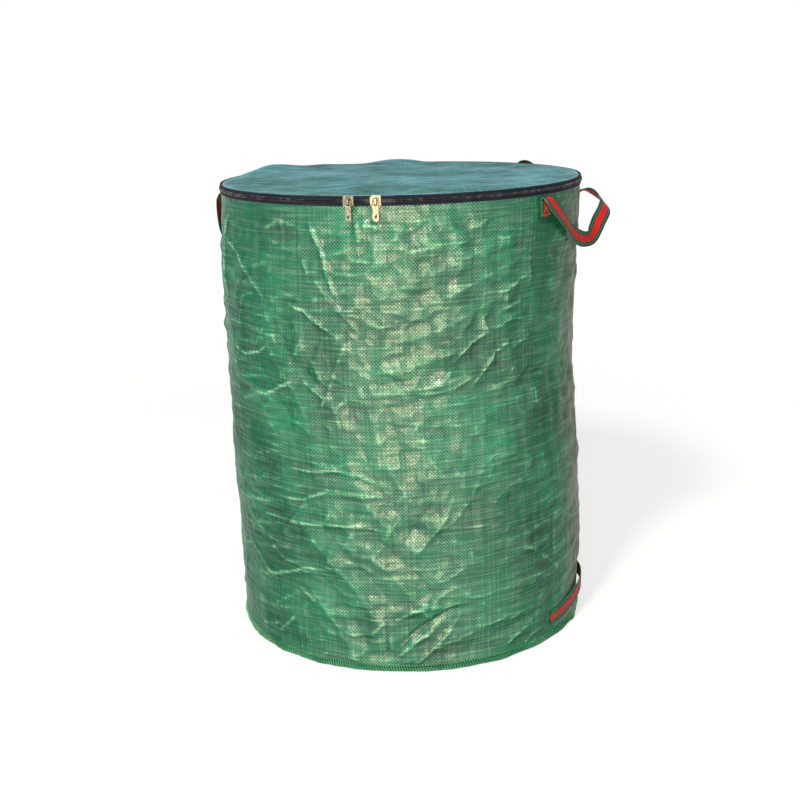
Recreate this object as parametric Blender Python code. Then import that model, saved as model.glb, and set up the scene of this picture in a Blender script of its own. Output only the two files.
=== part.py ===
"""Pop up leaf bag: a sprung round garden bag with a zipped lid, in metres, +Z up.

The origin is the middle of the base on the floor, and the zip's sliders face -Y.
Azimuths are in degrees, 0 at the front (-Y) and positive towards +X.
"""
import math

import bmesh
import bpy
from mathutils import Vector

# Overall size of the bag
BAG_RADIUS = 0.2800
BAG_HEIGHT = 0.7126
SIDES = 60
TARP = 0.0010
GAP = 0.0003

# The soft wall leans and bows a little between the base and the rim
BOW_START = 0.0400
BOW_END_BELOW_RIM = 0.0576
SWAY = 0.0050
BELLY = 0.0025
WALL_ROWS = 9

# Base seam: the overlocked edges of wall and base hang down as a short skirt all round
SEAM_OUT = 0.0012
SEAM_INSET = 0.0010
SEAM_HIGH = 0.0068

# Wire hoops, their crimped ferrules and the hems that hold them
WIRE = 0.0032
WIRE_SIDES = 6
FERRULE_WALL = 0.0008
FERRULE_LENGTH = 0.0220
FERRULE_SIDES = 8
HEM_LIFT = 0.0014
HOOP_JOINT_AZ = 183.0
HOOP_END_GAP = 0.0010

# Pop up spring, its sewn casing and its end caps
SPRING_TURNS = 4
POINTS_PER_TURN = 24
SPRING_START_AZ = 180.0
SOFT_GAP = 0.0006
CASING = 0.0008
CASING_START_AZ = 6.0
CASING_FOOT_SHARE = 2.0
CASING_TIP_SHARE = 0.6
SPRING_LEG = 0.0150
SPRING_TURN_IN = 0.0030
CAP_LENGTH = 0.0130
CAP_GRIP = 0.0100

# Zip round the rim
ZIP_BAND = 0.0140
ZIP_END_AZ = 168.0
COIL_END_AZ = 165.0
STOP_START_AZ = 165.4
STOP_END_AZ = 167.4
ZIP_TAPE = 0.0008
ZIP_COIL = 0.0018
COIL_SPLIT = 0.0008
HINGE_TAPE_AZ = 168.5

# Zip sliders with their bridges and pull tabs
LEFT_SLIDER_AZ = -14.2
RIGHT_SLIDER_AZ = -6.5
SLIDER_LENGTH = 0.0150
SLIDER_BACK_HALF = 0.0042
SLIDER_FRONT_HALF = 0.0078
SLIDER_PLATE = 0.0012
SLIDER_BACK_PLATE = 0.0010
SLIDER_WEB = 0.0010
SLIDER_NOSE_SHARE = 0.74
RUN = 0.0006
BRIDGE_HALF = 0.0040
BRIDGE_BAR = 0.0012
BRIDGE_LEG = 0.0010
BRIDGE_WIDTH = 0.0030
PULL_PLATE = 0.0014
PULL_WIDTH = 0.0080
PULL_LENGTH = 0.0270
PULL_BAR = 0.0016
PULL_EYE_HALF = 0.0024
PULL_EYE = 0.0052
PULL_SLOT_HALF = 0.0017
PULL_SLOT = 0.0042
PULL_SLOT_EDGE = 0.0036
PULL_END_HALF = 0.0030
PULL_END = 0.0012

# Lid
LID_HINGE_OUT = 0.0015
LID_HINGE_UP = 0.0005
LID_RISE = 0.0150
lid_ring_shares = ((1.0, 0.0), (0.975, 0.55), (0.93, 1.0), (0.86, 0.7), (0.72, 0.25), (0.45, 0.0), (0.15, 0.0))
lid_rise_shares = ((-137.0, 34.0, 1.0), (-178.0, 18.0, 0.42), (108.0, 16.0, 0.15))

# Webbing handles: 24 mm tape in three stripes, sewn flat at each end
WEBBING = 0.0016
WEBBING_WIDTH = 0.0240
SEAT = 0.0006
TAIL_LENGTH = 0.0240
FOLD_RISE = 0.0038
FOLD_OUT = 0.0030
FOLD_BELOW_RIM = 0.0183

RIGHT_FRONT_AZ = 48.0
RIGHT_REAR_AZ = 96.0
RIGHT_REAR_DROP = 0.0185
RIGHT_REACH = 0.0391
RIGHT_DROP = 0.0756
# along the chord, reach, drop, and the webbing's width along the rim, outwards and upwards
right_route_shares = (
    (0.010, 0.253, 0.070, 0.99, 0.00, 0.00),
    (0.085, 0.270, 0.290, 0.78, 0.25, 0.45),
    (0.196, 0.222, 0.542, 0.48, 0.25, 0.84),
    (0.325, 0.227, 0.807, 0.30, 0.15, 0.94),
    (0.460, 0.355, 0.972, 0.00, 0.20, 0.98),
    (0.562, 0.552, 1.000, -0.30, -0.25, 0.90),
    (0.615, 0.634, 0.939, -0.35, -0.62, 0.62),
    (0.648, 0.714, 0.812, -0.30, -0.80, 0.45),
    (0.681, 0.793, 0.685, -0.25, -0.85, 0.42),
    (0.744, 0.957, 0.515, -0.30, -0.80, 0.50),
    (0.808, 1.000, 0.411, -0.50, -0.60, 0.55),
    (0.883, 0.867, 0.298, -0.80, -0.35, 0.35),
    (0.946, 0.624, 0.208, -0.97, -0.15, 0.10),
    (0.981, 0.317, 0.183, -1.00, 0.00, 0.00),
)
LEFT_FRONT_AZ = -90.0
LEFT_REAR_AZ = -130.0
LEFT_REACH = 0.0085
LEFT_DROP = 0.0880
left_half_shares = (
    (0.008, 0.88, 0.10, 1.00, 0.0, 0.00),
    (0.030, 1.00, 0.28, 0.97, 0.0, -0.20),
    (0.088, 1.00, 0.53, 0.85, 0.0, -0.52),
    (0.188, 0.94, 0.76, 0.60, 0.0, -0.80),
    (0.325, 0.88, 0.93, 0.30, 0.0, -0.95),
)
ROUTE_STEPS = 2

BASE_HANDLE_START_AZ = 51.2
BASE_HANDLE_END_AZ = 108.8
BASE_TAIL_AZ = 5.0
BASE_TAIL_Z = 0.0340
BASE_HANDLE_RISE = 0.0110
BASE_HANDLE_REACH = 0.0085
BASE_HANDLE_LEAD_AZ = 1.0
BASE_HANDLE_POINTS = 13

HANG_LOOP_AZ = 131.6
HANG_TAIL_BELOW_RIM = 0.0680
HANG_TAIL_LENGTH = 0.0200
HANG_TAIL_SPREAD = 0.0560
HANG_LOOP_BELOW_RIM = 0.0085
HANG_LOOP_OUT = 0.0115
HANG_LEAN_SHARE = 0.25
HANG_STANDOFF_SHARE = 3.0
HANG_LEAD = 0.0030
HANG_POINTS = 11

# Values worked out from the sizes above
FACET = 360.0 / SIDES
FLAT_SHARE = math.cos(math.pi / SIDES)
BOW_END = BAG_HEIGHT - BOW_END_BELOW_RIM
ZIP_Z = BAG_HEIGHT - ZIP_BAND / 2
WALL_BOTTOM = SEAM_HIGH + GAP
WALL_TOP = ZIP_Z - SLIDER_BACK_HALF - RUN
LID_EDGE = ZIP_BAND / 2 - SLIDER_BACK_HALF - RUN
FERRULE_BORE = (WIRE / 2 + GAP) / math.cos(math.pi / FERRULE_SIDES)
FERRULE_RADIUS = FERRULE_BORE + FERRULE_WALL
HEM_OUTER = BAG_RADIUS - TARP - GAP
HOOP_RADIUS = HEM_OUTER - GAP - FERRULE_RADIUS
HEM_BORE = HOOP_RADIUS - FERRULE_RADIUS - GAP
HEM_INNER = HEM_BORE - TARP
BASE_HOOP_Z = TARP + GAP + HEM_LIFT + FERRULE_RADIUS
BASE_HEM_TOP = BASE_HOOP_Z + FERRULE_RADIUS + GAP + TARP
TOP_HOOP_Z = WALL_TOP - TARP - GAP - FERRULE_RADIUS
RIM_HEM_BOTTOM = TOP_HOOP_Z - FERRULE_RADIUS - GAP - TARP
TUNNEL = WIRE / 2 + GAP
CASING_FOOT = TUNNEL * CASING_FOOT_SHARE + CASING
SPRING_START_Z = BASE_HEM_TOP + GAP + CASING_FOOT
SPRING_END_Z = RIM_HEM_BOTTOM - GAP - CASING_FOOT
TAPE_INNER = BAG_RADIUS + GAP
TAPE_OUTER = TAPE_INNER + ZIP_TAPE
COIL_INNER = TAPE_OUTER + GAP
COIL_OUTER = COIL_INNER + ZIP_COIL
SLIDER_SAG = BAG_RADIUS - math.sqrt(BAG_RADIUS**2 - (SLIDER_LENGTH / 2) ** 2)
BACK_PLATE_OUTER = TAPE_INNER * FLAT_SHARE - GAP - SLIDER_SAG
BACK_PLATE_INNER = BACK_PLATE_OUTER - SLIDER_BACK_PLATE
FRONT_PLATE_INNER = COIL_OUTER + GAP
FRONT_PLATE_OUTER = FRONT_PLATE_INNER + SLIDER_PLATE
PULL_INNER = FRONT_PLATE_OUTER + RUN
PULL_OUTER = PULL_INNER + PULL_PLATE
PULL_AXIS = (PULL_INNER + PULL_OUTER) / 2
BRIDGE_INNER = PULL_OUTER + RUN
BRIDGE_OUTER = BRIDGE_INNER + BRIDGE_BAR
LID_HINGE_Y = BAG_RADIUS + LID_HINGE_OUT
LID_HINGE_Z = BAG_HEIGHT + LID_HINGE_UP
FOLD_Z = BAG_HEIGHT - FOLD_BELOW_RIM
FOLD_AXIS_OUT = SEAT + WEBBING / 2 + FOLD_OUT


def around(radius, azimuth, z):
    """A point at a radius and azimuth about the bag's own axis."""
    a = math.radians(azimuth)
    return Vector((radius * math.sin(a), -radius * math.cos(a), z))


def outward(azimuth):
    return around(1.0, azimuth, 0.0)


def along_rim(azimuth):
    return around(1.0, azimuth + 90.0, 0.0)


def bow_share(z):
    """How far a height is through the free part of the wall, from 0 to 1."""
    return min(max((z - BOW_START) / (BOW_END - BOW_START), 0.0), 1.0)


def sway(z):
    """The soft wall leans to the left above its middle and stands straight below."""
    s = bow_share(z)
    return -SWAY * (math.sin(math.pi * s) - 0.7 * math.sin(2 * math.pi * s))


def girth(z):
    """Outer radius of the wall: a belly low down and a slight waist above it."""
    return BAG_RADIUS + BELLY * math.sin(2 * math.pi * bow_share(z))


def on_wall(azimuth, standoff, z):
    """A point that stands off the wall's outer face."""
    return around(girth(z) + standoff, azimuth, z) + Vector((sway(z), 0.0, 0.0))


def inside_wall(azimuth, depth, z):
    """A point that lies inside the wall, counted from its flats."""
    radius = (girth(z) - TARP) * FLAT_SHARE - SOFT_GAP - depth
    return around(radius, azimuth, z) + Vector((sway(z), 0.0, 0.0))


def finish(name, color, roughness, metallic=0.0):
    """A plain Principled material."""
    material = bpy.data.materials.new(name)
    material.use_nodes = True
    shader = material.node_tree.nodes["Principled BSDF"]
    shader.inputs["Base Color"].default_value = (*color, 1.0)
    shader.inputs["Roughness"].default_value = roughness
    shader.inputs["Metallic"].default_value = metallic
    material.diffuse_color = (*color, 1.0)
    return material


def pivot(name, place):
    """An empty on a joint's axis, which carries the pieces that move together."""
    empty = bpy.data.objects.new(name, None)
    empty.location = place
    bpy.context.scene.collection.objects.link(empty)
    return empty


def piece(name, mesh_data, material, carrier=None):
    """A named object from a bmesh built in the bag's frame, hung on its carrier."""
    bmesh.ops.recalc_face_normals(mesh_data, faces=mesh_data.faces)
    mesh = bpy.data.meshes.new(name)
    if carrier is not None:
        bmesh.ops.translate(mesh_data, verts=mesh_data.verts, vec=-carrier.location)
    mesh_data.to_mesh(mesh)
    mesh_data.free()
    mesh.shade_smooth()
    mesh.set_sharp_from_angle(angle=math.radians(35.0))
    mesh.materials.append(material)
    found = bpy.data.objects.new(name, mesh)
    found.parent = carrier
    bpy.context.scene.collection.objects.link(found)
    return found


def loft(name, sections, material, carrier=None, closed=False):
    """Skins a list of like sections into one closed body, with flat ends unless it closes on itself."""
    shape = bmesh.new()
    rings = [[shape.verts.new(p) for p in section] for section in sections]
    pairs = list(zip(rings, rings[1:]))
    if closed:
        pairs.append((rings[-1], rings[0]))
    for near, far in pairs:
        count = len(near)
        for i in range(count):
            j = (i + 1) % count
            shape.faces.new((near[i], near[j], far[j], far[i]))
    if not closed:
        shape.faces.new(rings[0])
        shape.faces.new(rings[-1])
    return piece(name, shape, material, carrier)


def azimuth_steps(start, end):
    """The bag's own facet corners between two azimuths, with the two ends added."""
    first, last = math.floor(start / FACET) + 1, math.ceil(end / FACET) - 1
    return [start] + [k * FACET for k in range(first, last + 1)] + [end]


def facet_point(radius, azimuth, z):
    """A point on the polygon that the round pieces share, also between its corners."""
    low = math.floor(azimuth / FACET) * FACET
    share = (azimuth - low) / FACET
    return around(radius, low, z).lerp(around(radius, low + FACET, z), share)


def turned(name, profile, material, carrier=None, span=None):
    """A profile of radius and height turned about the bag's axis, all round or over a span of azimuths."""
    if span is None:
        angles = [k * FACET for k in range(SIDES)]
    else:
        angles = azimuth_steps(*span)
    sections = [[facet_point(r, a, z) for r, z in profile] for a in angles]
    return loft(name, sections, material, carrier, closed=span is None)


def box_profile(inner, outer, low, high):
    return ((inner, low), (outer, low), (outer, high), (inner, high))


def disc(name, radius, low, high, material):
    shape = bmesh.new()
    rings = [[shape.verts.new(around(radius, k * FACET, z)) for k in range(SIDES)] for z in (low, high)]
    for i in range(SIDES):
        j = (i + 1) % SIDES
        shape.faces.new((rings[0][i], rings[0][j], rings[1][j], rings[1][i]))
    shape.faces.new(rings[0])
    shape.faces.new(rings[1])
    return piece(name, shape, material)


def circle(centre, across, upward, radius, sides):
    """Corners of a round section in the plane of two directions."""
    turns = [2 * math.pi * k / sides for k in range(sides)]
    return [centre + across * (radius * math.cos(t)) + upward * (radius * math.sin(t)) for t in turns]


def wall_panel(material):
    heights = [WALL_BOTTOM] + [BOW_START + (BOW_END - BOW_START) * k / WALL_ROWS for k in range(WALL_ROWS + 1)]
    heights.append(WALL_TOP)
    outer = [(girth(z), z) for z in heights]
    inner = [(girth(z) - TARP, z) for z in reversed(heights)]
    sections = []
    for k in range(SIDES):
        section = [around(r, k * FACET, z) + Vector((sway(z), 0.0, 0.0)) for r, z in outer + inner]
        sections.append(section)
    return loft("wall_panel", sections, material, closed=True)


def wire_hoop(name, z, material, carrier=None):
    """A spring wire ring whose two ends meet inside a ferrule."""
    middle = HOOP_JOINT_AZ
    half_gap = math.degrees(HOOP_END_GAP / 2 / HOOP_RADIUS)
    sections = []
    for azimuth in azimuth_steps(middle + half_gap, middle + 360.0 - half_gap):
        centre = facet_point(HOOP_RADIUS, azimuth, z)
        sections.append(circle(centre, outward(azimuth), Vector((0.0, 0.0, 1.0)), WIRE / 2, WIRE_SIDES))
    return loft(name, sections, material, carrier)


def hoop_ferrule(name, z, material, carrier=None):
    """A steel sleeve crimped over the hoop's two ends."""
    middle = HOOP_JOINT_AZ
    centre = facet_point(HOOP_RADIUS, middle, z)
    along = along_rim(middle)
    sections = []
    for radius, end in ((FERRULE_RADIUS, -1), (FERRULE_RADIUS, 1), (FERRULE_BORE, 1), (FERRULE_BORE, -1)):
        place = centre + along * (end * FERRULE_LENGTH / 2)
        sections.append(circle(place, outward(middle), Vector((0.0, 0.0, 1.0)), radius, FERRULE_SIDES))
    return loft(name, sections, material, carrier, closed=True)


def spring_place(step, depth, rise):
    """A point of the helix at a number of steps from its start, also between its corners."""
    steps = SPRING_TURNS * POINTS_PER_TURN
    low = min(math.floor(step), steps - 1)
    corners = []
    for k in (low, low + 1):
        z = SPRING_START_Z + (SPRING_END_Z - SPRING_START_Z) * k / steps
        azimuth = SPRING_START_AZ + 360.0 * k / POINTS_PER_TURN
        corners.append(inside_wall(azimuth, depth, z) + Vector((0.0, 0.0, rise)))
    return corners[0].lerp(corners[1], step - low)


def spring_tip(at_end):
    """The wire's last bit is bent a little inwards, so that its cap stays off the cloth."""
    step, side = (SPRING_TURNS * POINTS_PER_TURN, 1) if at_end else (0, -1)
    corner = spring_place(step, TUNNEL, 0.0)
    azimuth = SPRING_START_AZ + 360.0 * step / POINTS_PER_TURN + side * math.degrees(SPRING_LEG / BAG_RADIUS)
    return corner, inside_wall(azimuth, TUNNEL + SPRING_TURN_IN, corner.z)


def pop_up_spring(material):
    """The wire that pushes the rim up, as one unbroken coil."""
    steps = SPRING_TURNS * POINTS_PER_TURN
    upward = Vector((0.0, 0.0, 1.0))
    sections = []
    for k in range(steps + 1):
        azimuth = SPRING_START_AZ + 360.0 * k / POINTS_PER_TURN
        sections.append(circle(spring_place(k, TUNNEL, 0.0), outward(azimuth), upward, WIRE / 2, WIRE_SIDES))
    for at_end in (False, True):
        corner, tip = spring_tip(at_end)
        section = circle(tip, outward(math.degrees(math.atan2(tip.x, -tip.y))), upward, WIRE / 2, WIRE_SIDES)
        sections.insert(len(sections) if at_end else 0, section)
    pitch = (SPRING_END_Z - SPRING_START_Z) / SPRING_TURNS
    least = min((spring_place(k, TUNNEL, 0.0) - spring_place(k + POINTS_PER_TURN, TUNNEL, 0.0)).length
                for k in range(steps - POINTS_PER_TURN + 1))
    print(f"pop up spring: pitch {pitch * 1000:.1f} mm, least gap to itself {(least - WIRE) * 1000:.1f} mm")
    return loft("pop_up_spring", sections, material)


def spring_casing(material):
    """The tape sewn to the wall over the spring, a tunnel open towards the wall."""
    steps = SPRING_TURNS * POINTS_PER_TURN
    start = CASING_START_AZ * POINTS_PER_TURN / 360.0
    tip, foot = TUNNEL * CASING_TIP_SHARE, TUNNEL * CASING_FOOT_SHARE
    profile = (
        (0.0, -foot), (2 * TUNNEL, -tip), (2 * TUNNEL, tip), (0.0, foot),
        (0.0, foot + CASING), (2 * TUNNEL + CASING, tip + CASING / 2),
        (2 * TUNNEL + CASING, -tip - CASING / 2), (0.0, -foot - CASING),
    )
    stations = [start] + list(range(math.floor(start) + 1, math.ceil(steps - start))) + [steps - start]
    sections = [[spring_place(s, depth, rise) for depth, rise in profile] for s in stations]
    return loft("spring_casing", sections, material)


def spring_cap(name, at_end, material, carrier=None):
    """A soft plastic cap pushed over the spring's bare end."""
    corner, tip = spring_tip(at_end)
    along = (tip - corner).normalized()
    across = along.cross(Vector((0.0, 0.0, 1.0))).normalized()
    upward = across.cross(along)
    sections = []
    for radius, place in ((FERRULE_RADIUS, CAP_LENGTH - CAP_GRIP), (FERRULE_RADIUS, -CAP_GRIP),
                          (FERRULE_BORE, -CAP_GRIP), (FERRULE_BORE, GAP)):
        sections.append(circle(tip + along * place, across, upward, radius, FERRULE_SIDES))
    return loft(name, sections, material, carrier)


def lid_rise(azimuth):
    """How far the slack cloth stands up near the lid's edge, as a share of the full rise."""
    total = 0.0
    for middle, half_width, share in lid_rise_shares:
        away = abs((azimuth - middle + 180.0) % 360.0 - 180.0) / half_width
        if away < 1.0:
            total += share * (1.0 + math.cos(math.pi * away)) / 2
    return total


def lid_panel(material, carrier):
    """The round of tarpaulin that closes the bag, with a turned hem at its edge."""
    shape = bmesh.new()
    rings = []
    for side in (1, -1):
        shares = lid_ring_shares if side == 1 else tuple(reversed(lid_ring_shares))
        for radius_share, rise_share in shares:
            ring = []
            for k in range(SIDES):
                azimuth = k * FACET
                z = BAG_HEIGHT + LID_RISE * rise_share * lid_rise(azimuth)
                if side == -1:
                    z -= LID_EDGE if radius_share == 1.0 else TARP
                ring.append(shape.verts.new(around(BAG_RADIUS * radius_share, azimuth, z)))
            rings.append(ring)
    rings = rings[len(lid_ring_shares):] + rings[:len(lid_ring_shares)]
    for near, far in zip(rings, rings[1:]):
        for i in range(SIDES):
            j = (i + 1) % SIDES
            shape.faces.new((near[i], near[j], far[j], far[i]))
    shape.faces.new(rings[0])
    shape.faces.new(rings[-1])
    return piece("lid_panel", shape, material, carrier)


def slider_body(name, azimuth, nose, material, carrier):
    """The die-cast slider: a front plate, a web between the two coils and a back plate."""
    out, along = outward(azimuth), along_rim(azimuth)
    half = SLIDER_LENGTH / 2
    sections = []
    for place, share in ((-half, SLIDER_NOSE_SHARE), (-half / 2, 1.0), (half / 2, 1.0), (half, SLIDER_NOSE_SHARE)):
        tall = SLIDER_FRONT_HALF * (share if place * nose > 0 or abs(place) < half else (1.0 + share) / 2)
        web = SLIDER_WEB / 2
        profile = (
            (BACK_PLATE_INNER, -SLIDER_BACK_HALF), (BACK_PLATE_OUTER, -SLIDER_BACK_HALF),
            (BACK_PLATE_OUTER, -web), (FRONT_PLATE_INNER, -web),
            (FRONT_PLATE_INNER, -tall), (FRONT_PLATE_OUTER, -tall),
            (FRONT_PLATE_OUTER, tall), (FRONT_PLATE_INNER, tall),
            (FRONT_PLATE_INNER, web), (BACK_PLATE_OUTER, web),
            (BACK_PLATE_OUTER, SLIDER_BACK_HALF), (BACK_PLATE_INNER, SLIDER_BACK_HALF),
        )
        sections.append([out * r + along * place + Vector((0.0, 0.0, ZIP_Z + z)) for r, z in profile])
    return loft(name, sections, material, carrier)


def slider_bridge(name, azimuth, material, carrier):
    """The small staple on the slider's face that the pull tab hangs from."""
    out, along = outward(azimuth), along_rim(azimuth)
    foot = FRONT_PLATE_OUTER + GAP
    inner_half = BRIDGE_HALF - BRIDGE_LEG
    profile = (
        (foot, -BRIDGE_HALF), (BRIDGE_OUTER, -BRIDGE_HALF), (BRIDGE_OUTER, BRIDGE_HALF), (foot, BRIDGE_HALF),
        (foot, inner_half), (BRIDGE_INNER, inner_half), (BRIDGE_INNER, -inner_half), (foot, -inner_half),
    )
    sections = []
    for place in (-BRIDGE_WIDTH / 2, BRIDGE_WIDTH / 2):
        sections.append([out * r + along * place + Vector((0.0, 0.0, ZIP_Z + z)) for r, z in profile])
    return loft(name, sections, material, carrier)


def pull_tab(name, azimuth, material, carrier):
    """A flat stamped tab with an eye round the bridge and a slot near its end."""
    out, along = outward(azimuth), along_rim(azimuth)
    half = PULL_WIDTH / 2
    bar = PULL_BAR / 2
    slot_low = -PULL_LENGTH + PULL_SLOT_EDGE
    # height, half width, half width of the hole's columns, and whether the row below it is holed
    rows = (
        (bar, half, PULL_EYE_HALF, False),
        (-bar, half, PULL_EYE_HALF, True),
        (-bar - PULL_EYE, half, PULL_EYE_HALF, False),
        (slot_low + PULL_SLOT, half, PULL_SLOT_HALF, True),
        (slot_low, half, PULL_SLOT_HALF, False),
        (-PULL_LENGTH + PULL_END, half, PULL_SLOT_HALF, False),
        (-PULL_LENGTH, PULL_END_HALF, PULL_SLOT_HALF, False),
    )
    shape = bmesh.new()
    layers = []
    for radius in (PULL_INNER, PULL_OUTER):
        grid = []
        for z, edge, hole, _ in rows:
            places = (-edge, -hole, hole, edge)
            centre = out * radius + Vector((0.0, 0.0, ZIP_Z + z))
            grid.append([shape.verts.new(centre + along * p) for p in places])
        layers.append(grid)
    cells = [(i, j) for i in range(len(rows) - 1) for j in range(3) if not (j == 1 and rows[i][3])]
    edges = {}
    for i, j in cells:
        corners = ((i, j), (i, j + 1), (i + 1, j + 1), (i + 1, j))
        for grid in layers:
            shape.faces.new([grid[a][b] for a, b in corners])
        for side in zip(corners, corners[1:] + corners[:1]):
            edges.setdefault(frozenset(side), []).append(side)
    for sides in edges.values():
        if len(sides) == 1:
            (a, b), (c, d) = sides[0]
            shape.faces.new((layers[0][a][b], layers[0][c][d], layers[1][c][d], layers[1][a][b]))
    return piece(name, shape, material, carrier)


def smooth_route(route):
    """Adds points to a route on a smooth curve through the chosen ones."""
    padded = [route[0]] + list(route) + [route[-1]]
    result = []
    for k in range(1, len(padded) - 2):
        before, start, end, after = padded[k - 1:k + 3]
        for step in range(ROUTE_STEPS):
            t = step / ROUTE_STEPS
            point = []
            for p0, p1, p2, p3 in zip(before, start, end, after):
                curve = 2 * p1 + (p2 - p0) * t + (2 * p0 - 5 * p1 + 4 * p2 - p3) * t * t
                point.append((curve + (3 * p1 - p0 - 3 * p2 + p3) * t**3) / 2)
            result.append(point)
    result.append(list(route[-1]))
    return result


def strap(name, route, width, material, carrier=None):
    """Webbing along a route of azimuth, standoff and height, with its width along the rim, outwards and up."""
    places = [on_wall(p[0], p[1], p[2]) for p in route]
    sections = []
    for k, (point, place) in enumerate(zip(route, places)):
        ahead = (places[min(k + 1, len(places) - 1)] - places[max(k - 1, 0)]).normalized()
        across = along_rim(point[0]) * point[3] + outward(point[0]) * point[4] + Vector((0.0, 0.0, point[5]))
        across = (across - ahead * across.dot(ahead)).normalized()
        facing = across.cross(ahead)
        corners = ((-1, -1), (1, -1), (1, 1), (-1, 1))
        sections.append([place + across * (width / 2 * a) + facing * (WEBBING / 2 * b) for a, b in corners])
    return loft(name, sections, material, carrier)


def sewn_tail(name, azimuth, low, length, width, material, carrier=None):
    """The flat end of a strap, sewn to the wall with its cut edge down."""
    half = math.degrees(width / 2 / BAG_RADIUS)
    sections = []
    for place in (azimuth - half, azimuth, azimuth + half):
        corners = ((SEAT, low), (SEAT + WEBBING, low), (SEAT + WEBBING, low + length), (SEAT, low + length))
        sections.append([on_wall(place, standoff, z) for standoff, z in corners])
    return loft(name, sections, material, carrier)


def folded_start(azimuth, top, turn):
    """The strap rises from its tail's top and folds over outwards."""
    flat = SEAT + WEBBING / 2
    return [
        (azimuth, flat, top + GAP, turn, 0.0, 0.0),
        (azimuth, flat + FOLD_OUT / 12, top + FOLD_RISE * 0.6, turn, 0.0, 0.0),
        (azimuth, flat + FOLD_OUT, top + FOLD_RISE, turn, 0.0, 0.0),
    ]


def right_handle(material, stitched, carrier):
    """The right handle stands out from the wall in a twisted loop."""
    front_top = FOLD_Z - FOLD_RISE
    rear_top = front_top - RIGHT_REAR_DROP
    sewn_tail("right_handle_front_end", RIGHT_FRONT_AZ, front_top - TAIL_LENGTH, TAIL_LENGTH, WEBBING_WIDTH,
              material, stitched)
    sewn_tail("right_handle_rear_end", RIGHT_REAR_AZ, rear_top - TAIL_LENGTH, TAIL_LENGTH, WEBBING_WIDTH,
              material, stitched)
    span = RIGHT_REAR_AZ - RIGHT_FRONT_AZ
    route = folded_start(RIGHT_FRONT_AZ, front_top, 1.0)
    for along, reach, drop, rim, out, up in right_route_shares:
        route.append((RIGHT_FRONT_AZ + span * along, RIGHT_REACH * reach, FOLD_Z - RIGHT_DROP * drop, rim, out, up))
    route += reversed(folded_start(RIGHT_REAR_AZ, rear_top, -1.0))
    return strap("right_handle_strap", smooth_route(route), WEBBING_WIDTH, material, carrier)


def left_handle(material, stitched, carrier):
    """The left handle hangs flat against the wall."""
    top = FOLD_Z - FOLD_RISE
    for name, azimuth in (("left_handle_front_end", LEFT_FRONT_AZ), ("left_handle_rear_end", LEFT_REAR_AZ)):
        sewn_tail(name, azimuth, top - TAIL_LENGTH, TAIL_LENGTH, WEBBING_WIDTH, material, stitched)
    span = LEFT_REAR_AZ - LEFT_FRONT_AZ
    half = [(LEFT_FRONT_AZ + span * s, LEFT_REACH * reach, FOLD_Z - LEFT_DROP * drop, rim, out, up)
            for s, reach, drop, rim, out, up in left_half_shares]
    middle = (LEFT_FRONT_AZ + span / 2, LEFT_REACH * left_half_shares[-1][1], FOLD_Z - LEFT_DROP, 0.0, 0.0, -1.0)
    mirrored = [(LEFT_FRONT_AZ + LEFT_REAR_AZ - a, out, z, -rim, w, up) for a, out, z, rim, w, up in reversed(half)]
    route = folded_start(LEFT_FRONT_AZ, top, 1.0) + half + [middle] + mirrored
    route += reversed(folded_start(LEFT_REAR_AZ, top, -1.0))
    return strap("left_handle_strap", smooth_route(route), WEBBING_WIDTH, material, carrier)


def base_handle(material):
    """The grab strap low on the right, sewn flat at both ends and bowed off the wall between them."""
    flat = SEAT + WEBBING / 2
    start, end = BASE_HANDLE_START_AZ, BASE_HANDLE_END_AZ
    for name, low, high in (("base_handle_front_end", start, start + BASE_TAIL_AZ),
                            ("base_handle_rear_end", end - BASE_TAIL_AZ, end)):
        route = [(low + (high - low) * k / 2, flat, BASE_TAIL_Z, 0.0, 0.0, 1.0) for k in range(3)]
        strap(name, route, WEBBING_WIDTH, material)
    seam_gap = math.degrees(GAP / BAG_RADIUS)
    low, high = start + BASE_TAIL_AZ + seam_gap, end - BASE_TAIL_AZ - seam_gap
    free_low, free_high = low + BASE_HANDLE_LEAD_AZ, high - BASE_HANDLE_LEAD_AZ
    route = [(low, flat, BASE_TAIL_Z, 0.0, 0.0, 1.0)]
    for k in range(BASE_HANDLE_POINTS):
        share = k / (BASE_HANDLE_POINTS - 1)
        swell = math.sin(math.pi * share)
        reach = flat + (BASE_HANDLE_REACH - flat) * swell
        azimuth = free_low + (free_high - free_low) * share
        route.append((azimuth, reach, BASE_TAIL_Z + BASE_HANDLE_RISE * swell, 0.0, 0.0, 1.0))
    route.append((high, flat, BASE_TAIL_Z, 0.0, 0.0, 1.0))
    return strap("base_handle_strap", route, WEBBING_WIDTH, material)


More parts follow.
